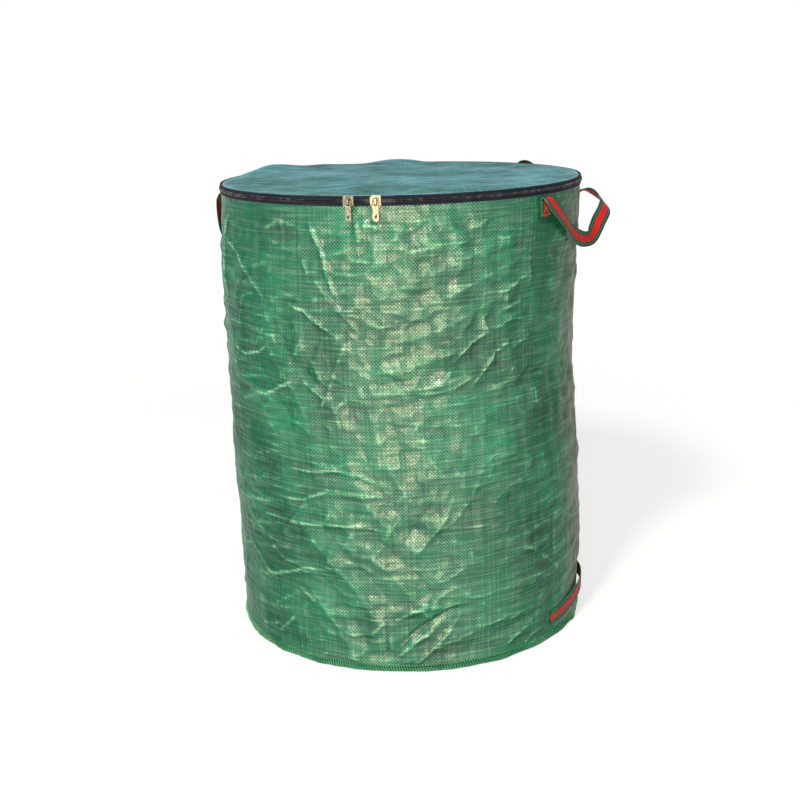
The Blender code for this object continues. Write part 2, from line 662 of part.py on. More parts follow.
def hang_loop(material, carrier):
    """A small webbing loop at the back that stands just above the rim."""
    spread = math.degrees(HANG_TAIL_SPREAD / 2 / BAG_RADIUS)
    tail_low = BAG_HEIGHT - HANG_TAIL_BELOW_RIM
    tail_top = tail_low + HANG_TAIL_LENGTH
    for name, side in (("hang_loop_near_end", -1), ("hang_loop_far_end", 1)):
        sewn_tail(name, HANG_LOOP_AZ + side * spread, tail_low, HANG_TAIL_LENGTH, WEBBING_WIDTH, material, carrier)
    flat = SEAT + WEBBING / 2
    foot = tail_top + GAP
    lead = HANG_LEAD
    climb_height = BAG_HEIGHT - HANG_LOOP_BELOW_RIM - foot - lead
    route = [(HANG_LOOP_AZ - spread, flat, foot, 1.0, 0.0, 0.0)]
    for k in range(HANG_POINTS):
        turn = math.pi * k / (HANG_POINTS - 1)
        climb = math.sin(turn)
        standoff = flat + (HANG_LOOP_OUT - flat) * min(1.0, HANG_STANDOFF_SHARE * climb)
        route.append((HANG_LOOP_AZ - spread * math.cos(turn), standoff, foot + lead + climb_height * climb,
                      math.cos(turn), HANG_LEAN_SHARE * climb, -climb))
    route.append((HANG_LOOP_AZ + spread, flat, foot, -1.0, 0.0, 0.0))
    return strap("hang_loop_strap", route, WEBBING_WIDTH, material, carrier)


def clear_scene():
    for found in list(bpy.data.objects):
        bpy.data.objects.remove(found)


def build():
    clear_scene()
    tarp = finish("woven tarpaulin green", (0.027, 0.216, 0.102), 0.35)
    tape = finish("zip tape black", (0.017, 0.019, 0.030), 0.7)
    coil = finish("nylon coil black", (0.020, 0.022, 0.032), 0.45)
    nickel = finish("nickel plated zinc", (0.62, 0.57, 0.46), 0.3, 1.0)
    webbing = finish("striped webbing", (0.60, 0.02, 0.03), 0.8)
    steel = finish("spring steel", (0.35, 0.35, 0.36), 0.35, 1.0)
    thread = finish("overlock thread green", (0.04, 0.20, 0.11), 0.8)
    plastic = finish("vinyl cap black", (0.02, 0.02, 0.02), 0.5)

    rim = pivot("collapse_axis", (0.0, 0.0, BAG_HEIGHT))
    lid_hinge = pivot("lid_hinge_axis", (0.0, LID_HINGE_Y, LID_HINGE_Z))
    left_travel = pivot("left_slider_axis", (0.0, 0.0, ZIP_Z))
    right_travel = pivot("right_slider_axis", (0.0, 0.0, ZIP_Z))
    left_swing = pivot("left_pull_axis", around(PULL_AXIS, LEFT_SLIDER_AZ, ZIP_Z))
    right_swing = pivot("right_pull_axis", around(PULL_AXIS, RIGHT_SLIDER_AZ, ZIP_Z))
    right_lift = pivot("right_handle_axis", on_wall(RIGHT_FRONT_AZ, FOLD_AXIS_OUT, FOLD_Z))
    left_lift = pivot("left_handle_axis", on_wall(LEFT_FRONT_AZ, FOLD_AXIS_OUT, FOLD_Z))

    disc("base_panel", BAG_RADIUS - SEAM_INSET - GAP, 0.0, TARP, tarp)
    turned("base_seam_overlock", box_profile(BAG_RADIUS - SEAM_INSET, BAG_RADIUS + SEAM_OUT, 0.0, SEAM_HIGH), thread)
    wall_panel(tarp)

    wire_hoop("base_hoop", BASE_HOOP_Z, steel)
    hoop_ferrule("base_hoop_ferrule", BASE_HOOP_Z, steel)
    base_hem = (
        (HEM_OUTER, BASE_HEM_TOP), (HEM_INNER, BASE_HEM_TOP), (HEM_INNER, TARP + GAP),
        (HEM_BORE, TARP + GAP), (HEM_BORE, BASE_HEM_TOP - TARP), (HEM_OUTER, BASE_HEM_TOP - TARP),
    )
    turned("base_hem", base_hem, tarp)

    pop_up_spring(steel)
    spring_casing(tarp)
    spring_cap("spring_lower_cap", False, plastic)
    spring_cap("spring_upper_cap", True, plastic, rim)

    wire_hoop("rim_hoop", TOP_HOOP_Z, steel, rim)
    hoop_ferrule("rim_hoop_ferrule", TOP_HOOP_Z, steel, rim)
    rim_hem = (
        (HEM_OUTER, WALL_TOP), (HEM_INNER, WALL_TOP), (HEM_INNER, RIM_HEM_BOTTOM), (HEM_OUTER, RIM_HEM_BOTTOM),
        (HEM_OUTER, RIM_HEM_BOTTOM + TARP), (HEM_BORE, RIM_HEM_BOTTOM + TARP),
        (HEM_BORE, WALL_TOP - TARP), (HEM_OUTER, WALL_TOP - TARP),
    )
    turned("rim_hem", rim_hem, tarp, rim)

    zip_span = (-ZIP_END_AZ, ZIP_END_AZ)
    coil_span = (-COIL_END_AZ, COIL_END_AZ)
    turned("lower_zip_tape", box_profile(TAPE_INNER, TAPE_OUTER, BAG_HEIGHT - ZIP_BAND, ZIP_Z - COIL_SPLIT),
           tape, rim, zip_span)
    turned("upper_zip_tape", box_profile(TAPE_INNER, TAPE_OUTER, ZIP_Z + COIL_SPLIT, BAG_HEIGHT),
           tape, lid_hinge, zip_span)
    turned("lower_zip_coil", box_profile(COIL_INNER, COIL_OUTER, ZIP_Z - COIL_SPLIT - ZIP_COIL, ZIP_Z - COIL_SPLIT),
           coil, rim, coil_span)
    turned("upper_zip_coil", box_profile(COIL_INNER, COIL_OUTER, ZIP_Z + COIL_SPLIT, ZIP_Z + COIL_SPLIT + ZIP_COIL),
           coil, lid_hinge, coil_span)
    stop = box_profile(COIL_INNER, COIL_OUTER, ZIP_Z - COIL_SPLIT - 2 * ZIP_COIL, ZIP_Z - COIL_SPLIT)
    turned("left_zip_stop", stop, nickel, rim, (-STOP_END_AZ, -STOP_START_AZ))
    turned("right_zip_stop", stop, nickel, rim, (STOP_START_AZ, STOP_END_AZ))

    lid_panel(tarp, lid_hinge)
    turned("lid_hinge_tape", box_profile(TAPE_INNER, TAPE_OUTER, BAG_HEIGHT - ZIP_BAND, BAG_HEIGHT - GAP),
           tape, rim, (HINGE_TAPE_AZ, 360.0 - HINGE_TAPE_AZ))

    for side, azimuth, nose, travel, swing in (("left", LEFT_SLIDER_AZ, 1, left_travel, left_swing),
                                               ("right", RIGHT_SLIDER_AZ, -1, right_travel, right_swing)):
        slider_body(side + "_slider_body", azimuth, nose, nickel, travel)
        slider_bridge(side + "_slider_bridge", azimuth, nickel, travel)
        pull_tab(side + "_pull_tab", azimuth, nickel, swing)

    right_handle(webbing, rim, right_lift)
    left_handle(webbing, rim, left_lift)
    base_handle(webbing)
    hang_loop(webbing, rim)


build()
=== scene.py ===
import math

import bpy
import numpy as np
from mathutils import Matrix, Vector


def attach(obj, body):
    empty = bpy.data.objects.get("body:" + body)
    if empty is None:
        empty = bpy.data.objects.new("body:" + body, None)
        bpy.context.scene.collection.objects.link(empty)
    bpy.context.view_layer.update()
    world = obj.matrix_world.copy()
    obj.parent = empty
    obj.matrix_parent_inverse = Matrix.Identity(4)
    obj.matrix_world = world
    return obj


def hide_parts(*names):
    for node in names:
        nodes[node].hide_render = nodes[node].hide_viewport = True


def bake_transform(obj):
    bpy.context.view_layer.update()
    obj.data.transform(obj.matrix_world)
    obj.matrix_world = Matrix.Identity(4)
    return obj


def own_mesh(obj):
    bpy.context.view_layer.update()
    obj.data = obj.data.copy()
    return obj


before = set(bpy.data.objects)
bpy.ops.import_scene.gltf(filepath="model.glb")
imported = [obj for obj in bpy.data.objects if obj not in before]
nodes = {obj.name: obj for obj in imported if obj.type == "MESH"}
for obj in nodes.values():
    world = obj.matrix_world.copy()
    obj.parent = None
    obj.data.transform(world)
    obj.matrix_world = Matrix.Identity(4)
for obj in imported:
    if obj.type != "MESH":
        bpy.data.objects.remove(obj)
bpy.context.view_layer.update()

# CAMERA, STUDIO LIGHT AND FLOOR
# The camera stands about 2 m from the bag's axis and looks down on the zip at 15 degrees.
# A tall warm strip light behind it gives the upright glare on the glossy wall, a small high one
# picks out the folds, and a large cool one overhead gives the rest.
CAMERA_PLACE = Vector((0.0165, -2.0213, 0.8946))
CAMERA_LENS = 57.21
CAMERA_SENSOR = 36.0
CAMERA_DOWN = math.radians(15.12)
CAMERA_TURN = math.radians(-0.76)
CAMERA_ROLL = math.radians(-1.63)
WHITE = "ffffff"
FLOOR_HALF, FLOOR_DROP = 9.0, 0.0002
FLOOR_GLOW_NEAR, FLOOR_GLOW_FAR = 0.58, 0.88
FLOOR_GLOW_FROM, FLOOR_GLOW_TO = 0.9, 3.4
FLOOR_WHITE = "d8d8d8"
ROOM_FILL = 0.22


def placed(name, data):
    """An object in the scene for a mesh, a lamp or the camera."""
    made = bpy.data.objects.new(name, data)
    bpy.context.scene.collection.objects.link(made)
    return made



forward = Vector((math.sin(CAMERA_TURN) * math.cos(CAMERA_DOWN),
                  math.cos(CAMERA_TURN) * math.cos(CAMERA_DOWN), -math.sin(CAMERA_DOWN)))
level = Vector((math.cos(CAMERA_TURN), -math.sin(CAMERA_TURN), 0.0))
upright = level.cross(forward)
rolled = level * math.cos(CAMERA_ROLL) + upright * math.sin(CAMERA_ROLL)
crown = upright * math.cos(CAMERA_ROLL) - level * math.sin(CAMERA_ROLL)
camera_data = bpy.data.cameras.new("camera")
camera_data.lens, camera_data.sensor_width = CAMERA_LENS, CAMERA_SENSOR
camera = placed("camera", camera_data)
facing_bag = Matrix((rolled, crown, -forward)).transposed().to_4x4()
camera.matrix_world = Matrix.Translation(CAMERA_PLACE) @ facing_bag
bpy.context.scene.camera = camera
bpy.context.scene.view_settings.view_transform = "Standard"


def linear(code):
    """A linear colour from an sRGB hex code."""
    shares = [int(code[k:k + 2], 16) / 255 for k in (0, 2, 4)]
    return tuple(s / 12.92 if s <= 0.04045 else ((s + 0.055) / 1.055) ** 2.4 for s in shares) + (1.0,)


def settle(tree, node, inputs):
    """Sets each of a node's inputs, or feeds it from a socket or from another node's first one."""
    for key, value in inputs.items():
        if isinstance(value, bpy.types.Node):
            value = value.outputs[0]
        if isinstance(value, bpy.types.NodeSocket):
            tree.links.new(value, node.inputs[key])
        else:
            node.inputs[key].default_value = value


def add(tree, kind, inputs=None, **settings):
    """One node with its settings, its values and what feeds it."""
    made = tree.nodes.new(kind)
    for name, value in settings.items():
        setattr(made, name, value)
    settle(tree, made, inputs or {})
    return made


def seen_plainly(tree):
    """One for rays from the camera, off a gloss or through glass, and nought for the light on the bag."""
    rays = add(tree, "ShaderNodeLightPath").outputs
    seen = add(tree, "ShaderNodeMath", {0: rays["Is Camera Ray"], 1: rays["Is Glossy Ray"]},
               operation="MAXIMUM")
    return add(tree, "ShaderNodeMath", {0: seen, 1: rays["Is Transmission Ray"]}, operation="MAXIMUM")


def soft_light(name, place, aim, width, height, power, code):
    """A softbox that faces a point."""
    data = bpy.data.lights.new(name, "AREA")
    data.shape, data.size, data.size_y = "RECTANGLE", width, height
    data.energy, data.color = power, linear(code)[:3]
    lamp = placed(name, data)
    lamp.location = place
    lamp.rotation_mode = "QUATERNION"
    lamp.rotation_quaternion = (Vector(aim) - Vector(place)).to_track_quat("-Z", "Y")


soft_light("strip light", (-0.05, -2.60, 0.68), (0.0, 0.0, 0.36), 0.42, 1.44, 32.0, "ffefc2")
soft_light("high front light", (-0.75, -1.90, 2.60), (0.0, 0.0, 0.40), 0.45, 0.45, 60.0, "fff9ee")
soft_light("overhead light", (0.7, 0.6, 2.8), (0.0, 0.0, 0.5), 1.8, 1.8, 14.0, "eef5ff")

room = bpy.data.worlds.new("studio")
bpy.context.scene.world = room
room.use_nodes = True
sky = room.node_tree
sky.nodes.clear()
room_level = add(sky, "ShaderNodeMapRange", {"Value": seen_plainly(sky), "To Min": ROOM_FILL, "To Max": 1.0})
backdrop = add(sky, "ShaderNodeBackground", {"Color": linear(WHITE), "Strength": room_level})
add(sky, "ShaderNodeOutputWorld", {"Surface": backdrop})

floor_mesh = bpy.data.meshes.new("floor")
floor_corners = [(x * FLOOR_HALF, y * FLOOR_HALF, 0.0) for x, y in ((-1, -1), (1, -1), (1, 1), (-1, 1))]
floor_mesh.from_pydata(floor_corners, [], [(0, 1, 2, 3)])
floor = placed("floor", floor_mesh)
floor.location.z = -FLOOR_DROP
paper = bpy.data.materials.new("matt white studio paper")
paper.use_nodes = True
tree = paper.node_tree
tree.nodes.clear()
spot = add(tree, "ShaderNodeTexCoord")
away = add(tree, "ShaderNodeVectorMath", {0: spot.outputs["Object"]}, operation="LENGTH")
own_glow = add(tree, "ShaderNodeMapRange", {"Value": away.outputs["Value"],
                                            "From Min": FLOOR_GLOW_FROM, "From Max": FLOOR_GLOW_TO,
                                            "To Min": FLOOR_GLOW_NEAR, "To Max": FLOOR_GLOW_FAR},
               interpolation_type="SMOOTHSTEP")
glow_level = add(tree, "ShaderNodeMath", {0: seen_plainly(tree), 1: own_glow}, operation="MULTIPLY")
glow = add(tree, "ShaderNodeEmission", {"Color": linear(WHITE), "Strength": glow_level})
matt = add(tree, "ShaderNodeBsdfDiffuse", {"Color": linear(FLOOR_WHITE)})
both = add(tree, "ShaderNodeAddShader", {0: glow, 1: matt})
add(tree, "ShaderNodeOutputMaterial", {"Surface": both})
floor_mesh.materials.append(paper)

# WALL
# One sheet of laminated woven polyethylene, rolled into a drum and held up by the coil inside it.
# It was packed flat, so it keeps sharp set creases, soft dents and the coil's faint ridge.
RADIUS = 0.2800
GIRTH = 2 * math.pi * RADIUS
BOW_LOW, BOW_HIGH = 0.0400, 0.6550
SWAY, BELLY = 0.0050, 0.0025
WALL_LOW, WALL_HIGH = 0.0071, 0.7008
WALL_COLUMNS_FRONT, WALL_COLUMNS_BACK, WALL_ROWS = 420, 180, 300
FRONT_HALF = 100.0
CLOTH = 0.0006
TAPES_ROUND = 690
TAPE_PITCH = GIRTH / TAPES_ROUND
COIL_LOW, COIL_HIGH, COIL_TURNS = 0.0146, 0.6876, 4
MM = 0.001

# how far the cloth stands out at the left and right of the outline, beyond the solid's own bow, by height
outline_heights = (0.00, 0.14, 0.20, 0.25, 0.30, 0.35, 0.40, 0.45, 0.50, 0.55, 0.60, 0.645, 0.685, 0.70)
outline_left = (0.0, 0.0, 0.3, 0.6, 1.6, 0.2, 0.0, 0.8, 0.2, 2.2, 2.4, 2.6, 1.2, 0.0)
outline_right = (0.0, 0.5, 0.3, 0.0, -0.6, -1.0, -0.8, -1.4, -0.6, 0.4, -0.8, -2.4, -1.6, 0.0)

# creases and dents: height out of the wall and half width in mm, then azimuth in degrees and height in mm
creases = (
    (2.6, 5, (-27.4, 684), (-25.1, 657), (-22.2, 625), (-20.8, 599), (-17.8, 562)),
    (2.6, 5, (-66, 690), (-69, 640), (-71, 575), (-68, 520)),
    (2.2, 5, (-36.5, 560), (-28.8, 550), (-22.9, 527), (-17.2, 513)),
    (2.4, 7, (-69.8, 643), (-59.2, 620), (-52.1, 592), (-44.3, 558)),
    (2.0, 6, (-68, 482), (-55.8, 470), (-47.8, 479), (-41.1, 500)),
    (-2.2, 7, (-31.4, 467), (-25.8, 446), (-20.9, 432), (-15.9, 443)),
    (2.2, 6, (-31.5, 453), (-28.9, 441), (-22.8, 422), (-18.9, 421)),
    (1.6, 5, (-21, 462), (-17.3, 447), (-12.1, 446)),
    (3.2, 8, (-61.9, 690), (-67.9, 663), (-73.9, 614), (-74.2, 571)),
    (1.8, 6, (-52.2, 420), (-45.1, 417), (-38.9, 432), (-33.3, 445)),
    (1.6, 5, (-29.6, 628), (-27.7, 605), (-23.1, 606)),
    (1.7, 5, (-12.7, 680), (-11.6, 642)),
    (1.8, 7, (-17, 549), (-10, 541)),
    (1.6, 7, (-11, 674), (-5, 667)),
    (1.6, 6, (-15, 626), (-8, 619)),
    (0.5, 2.5, (-34, 641), (-2, 638), (30, 636)),
    (0.5, 2.5, (-30, 585), (28, 583)),
    (0.5, 2.5, (-26, 554), (30, 552)),
    (2.2, 5, (28.7, 547), (26.1, 533), (27.1, 514), (22.9, 501), (18.9, 485), (15.1, 468)),
    (2.0, 5, (37.2, 502), (33.6, 491), (30.2, 482), (24.8, 449), (20.2, 427)),
    (1.6, 5, (16.5, 468), (14.6, 455), (11.7, 443), (9.8, 439)),
    (1.7, 6, (42.4, 592), (37.9, 581), (32.6, 569), (23.1, 572)),
    (1.7, 5, (41, 552), (33.7, 544), (30.3, 535)),
    (1.8, 9, (-1.9, 667), (6.9, 679), (18.2, 684), (30.6, 681)),
    (1.6, 9, (-2.1, 628), (11.2, 643), (23.3, 649)),
    (-2.2, 8, (-3.1, 460), (3, 436), (8.4, 414)),
    (1.1, 4, (0.4, 522), (4, 537), (7.6, 545)),
    (0.9, 4, (-3.5, 389), (16.2, 380)),
    (2.4, 6, (-69.3, 176), (-61.4, 166), (-57, 142), (-49.3, 126), (-40.3, 140), (-34, 153), (-25.4, 158)),
    (1.6, 5, (-48.3, 182), (-43, 156), (-36.5, 158)),
    (2.2, 6, (-39.4, 310), (-29.7, 310), (-20.6, 315), (-13.3, 310), (-8.3, 298), (-1.4, 298)),
    (2.2, 6, (-45.4, 259), (-32.7, 264), (-24.2, 282), (-8.4, 280), (-1.5, 270)),
    (2.0, 6, (-65.5, 224), (-50.2, 224), (-30.6, 226), (-14.9, 232), (-1.8, 223)),
    (1.7, 5, (-37.7, 121), (-33.2, 110), (-29.5, 100)),
    (1.7, 7, (-24, 109), (-9.5, 106)),
    (2.0, 6, (-21.6, 65), (-17.9, 57), (-11.9, 62), (-6.6, 88)),
    (-2.6, 7, (-7.2, 71), (-7.4, 33), (-9.7, 8)),
    (3.6, 7, (-5.3, 80), (-0.1, 96), (5, 108), (11.2, 102)),
    (-4.6, 8, (-5.6, 33), (0.7, 60), (7.5, 85), (15.4, 105), (26.6, 109)),
    (3.6, 7, (-5.2, 20), (-1, 39), (4.8, 59), (7.9, 72)),
    (2.0, 6, (-0.6, 6), (4.6, 24), (9.9, 52), (15.9, 89)),
    (1.3, 5, (7.2, 142), (13.4, 152), (18.3, 167)),
    (0.9, 4, (6, 307), (30, 306)),
    (0.9, 4, (7, 229), (30, 221)),
    (1.6, 6, (27.6, 6), (34, 31), (41.1, 48)),
    (1.4, 5, (36.7, 10), (43.5, 28), (50.5, 30)),
)

# where webbing is sewn to the cloth and holds it flat: azimuths in degrees, heights in metres
# the cloth below an upper end is flat too, as it comes to lie behind that end when the bag is pressed flat
UPPER_ENDS_ABOVE, FLAT_BELOW_UPPER_ENDS = 0.5, 0.21
sewn_places = (
    (45.5, 50.5, 0.664, 0.693), (93.5, 98.5, 0.645, 0.675), (-92.5, -87.5, 0.664, 0.693),
    (-132.5, -127.5, 0.664, 0.693), (51.0, 109.0, 0.020, 0.058), (123.0, 140.0, 0.642, 0.667),
)


def bow(z):
    """How far the wall leans sideways at a height, and its radius there."""
    share = np.clip((z - BOW_LOW) / (BOW_HIGH - BOW_LOW), 0.0, 1.0)
    lean = -SWAY * (np.sin(np.pi * share) - 0.7 * np.sin(2 * np.pi * share))
    return lean, RADIUS + BELLY * np.sin(2 * np.pi * share)


def on_wall(azimuth, off, z):
    """Points off the wall's clean shape, as an array."""
    azimuth, off, z = np.broadcast_arrays(np.asarray(azimuth, float), off, np.asarray(z, float))
    lean, girth = bow(z)
    a = np.radians(azimuth)
    return np.stack(((girth + off) * np.sin(a) + lean, -(girth + off) * np.cos(a), z), -1)


def turn_gap(a, b):
    """Degrees from b to a, the short way round."""
    return (a - b + 180.0) % 360.0 - 180.0


def ease(x):
    """A smooth climb from 0 to 1."""
    x = np.clip(x, 0.0, 1.0)
    return x * x * (3.0 - 2.0 * x)


def crease(azimuth, z, tall, wide, *route):
    """One set crease: sharp along its line, fading to both sides and at its ends."""
    total = np.zeros(azimuth.shape)
    points = np.array([(math.radians(a) * RADIUS, h * MM) for a, h in route])
    middle = np.mean([a for a, _ in route])
    across = np.radians(turn_gap(azimuth, middle) + middle) * RADIUS
    reach = 7.0 * wide * MM
    low, high = points.min(0) - reach, points.max(0) + reach
    near = (across > low[0]) & (across < high[0]) & (z > low[1]) & (z < high[1])
    if not near.any():
        return total
    spot = np.stack((across[near], z[near]), -1)
    steps = np.linalg.norm(np.diff(points, axis=0), axis=1)
    length, walked = steps.sum(), 0.0
    away, along = np.full(len(spot), 9.0), np.zeros(len(spot))
    for start, end, step in zip(points[:-1], points[1:], steps):
        share = np.clip(((spot - start) @ (end - start)) / step**2, 0.0, 1.0)
        gap = np.linalg.norm(spot - start - share[:, None] * (end - start), axis=1)
        nearer = gap < away
        away[nearer], along[nearer] = gap[nearer], ((walked + share * step) / length)[nearer]
        walked += step
    soft = 0.0012
    body = np.exp(-(np.sqrt(away**2 + soft**2) - soft) / (wide * MM))
    ends = ease(np.minimum(along, 1.0 - along) / 0.25) * 0.85 + 0.15
    total[near] = tall * MM * body * ends
    return total


def swell(azimuth, z, wide, tall, seed):
    """Smooth seeded noise from -1 to 1, in cells of some degrees by some metres, closed round the bag."""
    columns = max(3, round(360.0 / wide))
    rows = int(1.2 / tall) + 6
    grid = np.random.default_rng(seed).uniform(-1.0, 1.0, (columns, rows))
    across, up = (azimuth % 360.0) / 360.0 * columns, (z + 0.2) / tall + 1.0
    i, j = np.floor(across).astype(int), np.floor(up).astype(int)
    f, g = across - i, up - j
    total = np.zeros(azimuth.shape)
    spline_a, spline_b = (((1 - t)**3, 3 * t**3 - 6 * t**2 + 4, -3 * t**3 + 3 * t**2 + 3 * t + 1, t**3)
                          for t in (f, g))
    for a, share_a in enumerate(spline_a):
        for b, share_b in enumerate(spline_b):
            total += share_a * share_b / 36.0 * grid[(i + a - 1) % columns, np.clip(j + b - 1, 0, rows - 1)]
    return total * 1.8


def pleats(azimuth, z, waves, per_metre, seed):
    """Straight slanting folds, sharp at crest and trough, that come and go over the cloth."""
    phase = waves * azimuth / 360.0 + per_metre * z + 0.8 * swell(azimuth, z, 36.0, 0.120, seed)
    zigzag = 1.0 - 4.0 * np.abs(phase - np.round(phase))
    return zigzag * np.clip(0.15 + swell(azimuth, z, 24.0, 0.080, seed + 1), 0.0, 1.0)


# small creases from handling, strewn over all the cloth and fewer in the front, where each is listed above
chance = np.random.default_rng(41)
handled_creases = []
for k in range(300):
    middle, height = chance.uniform(-180.0, 180.0), chance.uniform(20.0, 690.0)
    slope = math.radians(chance.choice([0.0, 0.0, 35.0, -35.0, 70.0, -70.0]) + chance.normal(0.0, 14.0))
    reach, tall = chance.uniform(14.0, 75.0), chance.uniform(0.5, 1.9) * chance.choice([1.0, 1.0, -0.8])
    wide, bend = chance.uniform(3.0, 7.0), chance.uniform(-0.25, 0.25) * reach
    quiet = abs(middle) < 62.0 and chance.uniform() < 0.55
    route = []
    for step in (-1.0, -0.33, 0.33, 1.0):
        side, up = reach * step, bend * (1.0 - step**2) + chance.normal(0.0, 0.05) * reach
        turned = side * math.cos(slope) - up * math.sin(slope)
        route.append((middle + math.degrees(turned * MM / RADIUS),
                      height + side * math.sin(slope) + up * math.cos(slope)))
    if quiet:
        tall *= 0.4
    handled_creases.append((tall, wide, *route))


def coil_height(azimuth, turn):
    """Height of the coil's wire behind an azimuth, on one of its turns."""
    return COIL_LOW + (COIL_HIGH - COIL_LOW) / COIL_TURNS * (((azimuth + 180.0) % 360.0) / 360.0 + turn)


def relief(azimuth, z):
    """How far the worn cloth stands out from the wall's clean shape."""
    side = np.sin(np.radians(azimuth))
    left = np.interp(z, outline_heights, outline_left) * MM * np.clip(-side, 0.0, 1.0)**2
    right = np.interp(z, outline_heights, outline_right) * MM * np.clip(side, 0.0, 1.0)**2
    total = np.zeros(z.shape)
    for tall, wide, *route in creases:
        total += crease(azimuth, z, 1.5 * tall, 0.7 * wide, *route)
    for tall, wide, *route in handled_creases:
        total += crease(azimuth, z, 1.3 * tall, wide, *route)
    total += 0.0012 * swell(azimuth, z, 34.0, 0.110, 5)
    for tall, wide, high, seed in ((0.0032, 17.0, 0.046, 6), (0.0024, 7.4, 0.019, 7),
                                   (0.0010, 3.2, 0.0085, 8)):
        total += tall * (0.35 - np.abs(swell(azimuth, z, wide, high, seed)))
    for tall, waves, per_metre, seed in ((0.0028, 20, 7.0, 61), (0.0024, -27, 9.0, 63),
                                         (0.0018, 9, -24.0, 65), (0.0013, 44, 4.0, 67),
                                         (0.0011, -14, 30.0, 69)):
        total += tall * pleats(azimuth, z, waves, per_metre, seed)
    total = np.where(total > 0.0, total, 0.8 * total) * (1.0 - 0.35 * np.abs(side)**6)
    total += left + right
    coil = np.zeros(z.shape)
    for turn in range(COIL_TURNS):
        coil = np.maximum(coil, np.exp(-((z - coil_height(azimuth, turn)) / 0.0065)**2))
    total += 0.0007 * coil
    # inward folds keep clear of the coil, of the base hem and of the rim hem, which is beside the cloth from
    # 0.645 m up when the bag is pressed flat
    inward = 1.0 - 0.8 * coil
    inward *= ease((z - 0.010) / 0.022) * ease((0.688 - z) / 0.020)
    total = np.where(total < 0.0, total * inward, total)
    deepest = -0.0006 - 0.0060 * ease((0.648 - z) / 0.030)
    total = np.where(total < 0.0, np.maximum(total, deepest), total)
    total *= ease((0.6900 - z) / 0.022)
    # and the left handle's loop lies against all the cloth below it then, so that cloth stands out less
    under_strap = ease((azimuth + 140.0) / 8.0) * ease((-84.0 - azimuth) / 8.0)
    total = np.minimum(total, 0.0070 - 0.0042 * under_strap)
    for low, high, bottom, top in sewn_places:
        if bottom > UPPER_ENDS_ABOVE:
            bottom -= FLAT_BELOW_UPPER_ENDS
        middle, half = (low + high) / 2, (high - low) / 2
        out = np.hypot(np.maximum(np.abs(turn_gap(azimuth, middle)) - half, 0.0) * math.radians(RADIUS),
                       np.maximum(np.abs(z - (bottom + top) / 2) - (top - bottom) / 2, 0.0))
        total *= ease(out / 0.016)
    return np.clip(total, -0.0066, 0.0070)


def skin(name, points, cloth, material, around=False, along=False, ends=False):
    """A mesh over a grid of points, with each point's place on the flat cloth in metres as its map.
    The second direction closes when around is true, the first when along is true; ends adds flat caps."""
    points, cloth = np.asarray(points, float), np.asarray(cloth, float)
    count, ring = points.shape[:2]
    i, j = np.meshgrid(np.arange(count if along else count - 1), np.arange(ring if around else ring - 1),
                       indexing="ij")
    i, j = i.ravel(), j.ravel()
    i2, j2 = i + 1, j + 1
    corners = np.stack(((i, j), (i2, j), (i2, j2), (i, j2)))
    faces = (corners[:, 0] % count) * ring + corners[:, 1] % ring
    faces = faces.T.tolist()
    maps = cloth[corners[:, 0] % cloth.shape[0], corners[:, 1] % cloth.shape[1]]
    maps = maps.transpose(1, 0, 2).reshape(-1, 2)
    if ends:
        first, last = list(range(ring))[::-1], [(count - 1) * ring + k for k in range(ring)]
        faces += [first, last]
        maps = np.concatenate((maps, cloth[0, [k % cloth.shape[1] for k in first]], cloth[-1, :ring]))
    mesh = bpy.data.meshes.new(name)
    mesh.from_pydata(points.reshape(-1, 3), [], faces)
    mesh.uv_layers.new(name="cloth").uv.foreach_set("vector", maps.astype(np.float32).ravel())
    mesh.shade_smooth()
    mesh.materials.append(material)
    return placed(name, mesh)


def keep_on_points(piece, name, values):
    """Keeps a number on each point for the material to read."""
    kept = piece.data.attributes.new(name, "FLOAT", "POINT")
    kept.data.foreach_set("value", values.astype(np.float32).ravel())


def mark_folds(piece, height, closed):
    """Keeps on each point how far it stands above the cloth about it, for crests rubbed pale and lit with
    painted light, and for troughs darkened with painted shade.
    """
    total = np.zeros(height.shape)
    for reach, gain in ((1, 2600.0), (3, 1100.0)):
        mean = height.copy()
        for axis, wraps_round in ((0, closed), (1, False)):
            edges = [(reach, reach) if k == axis else (0, 0) for k in (0, 1)]
            padded = np.pad(mean, edges, mode="wrap" if wraps_round else "edge")
            count = mean.shape[axis]
            spots = 2 * reach + 1
            mean = sum(np.take(padded, np.arange(k, k + count), axis) for k in range(spots)) / spots
        total += gain * (height - mean)
    keep_on_points(piece, "fold", total)


def thicken(piece, depth):
    """Gives a single skin of cloth its own thickness, inwards."""
    shell = piece.modifiers.new("cloth thickness", "SOLIDIFY")
    shell.thickness, shell.offset = depth, -1.0
    return piece


def new_material(name):
    """A new material with its node tree and its shader."""
    made = bpy.data.materials.new(name)
    made.use_nodes = True
    return made, made.node_tree, made.node_tree.nodes["Principled BSDF"]


# the olive on the wall's right side: a painted reflection of brownish ground, shared out by a number kept on
# each point
PAINTED_REFLECTION_OLIVE = "6a6640"


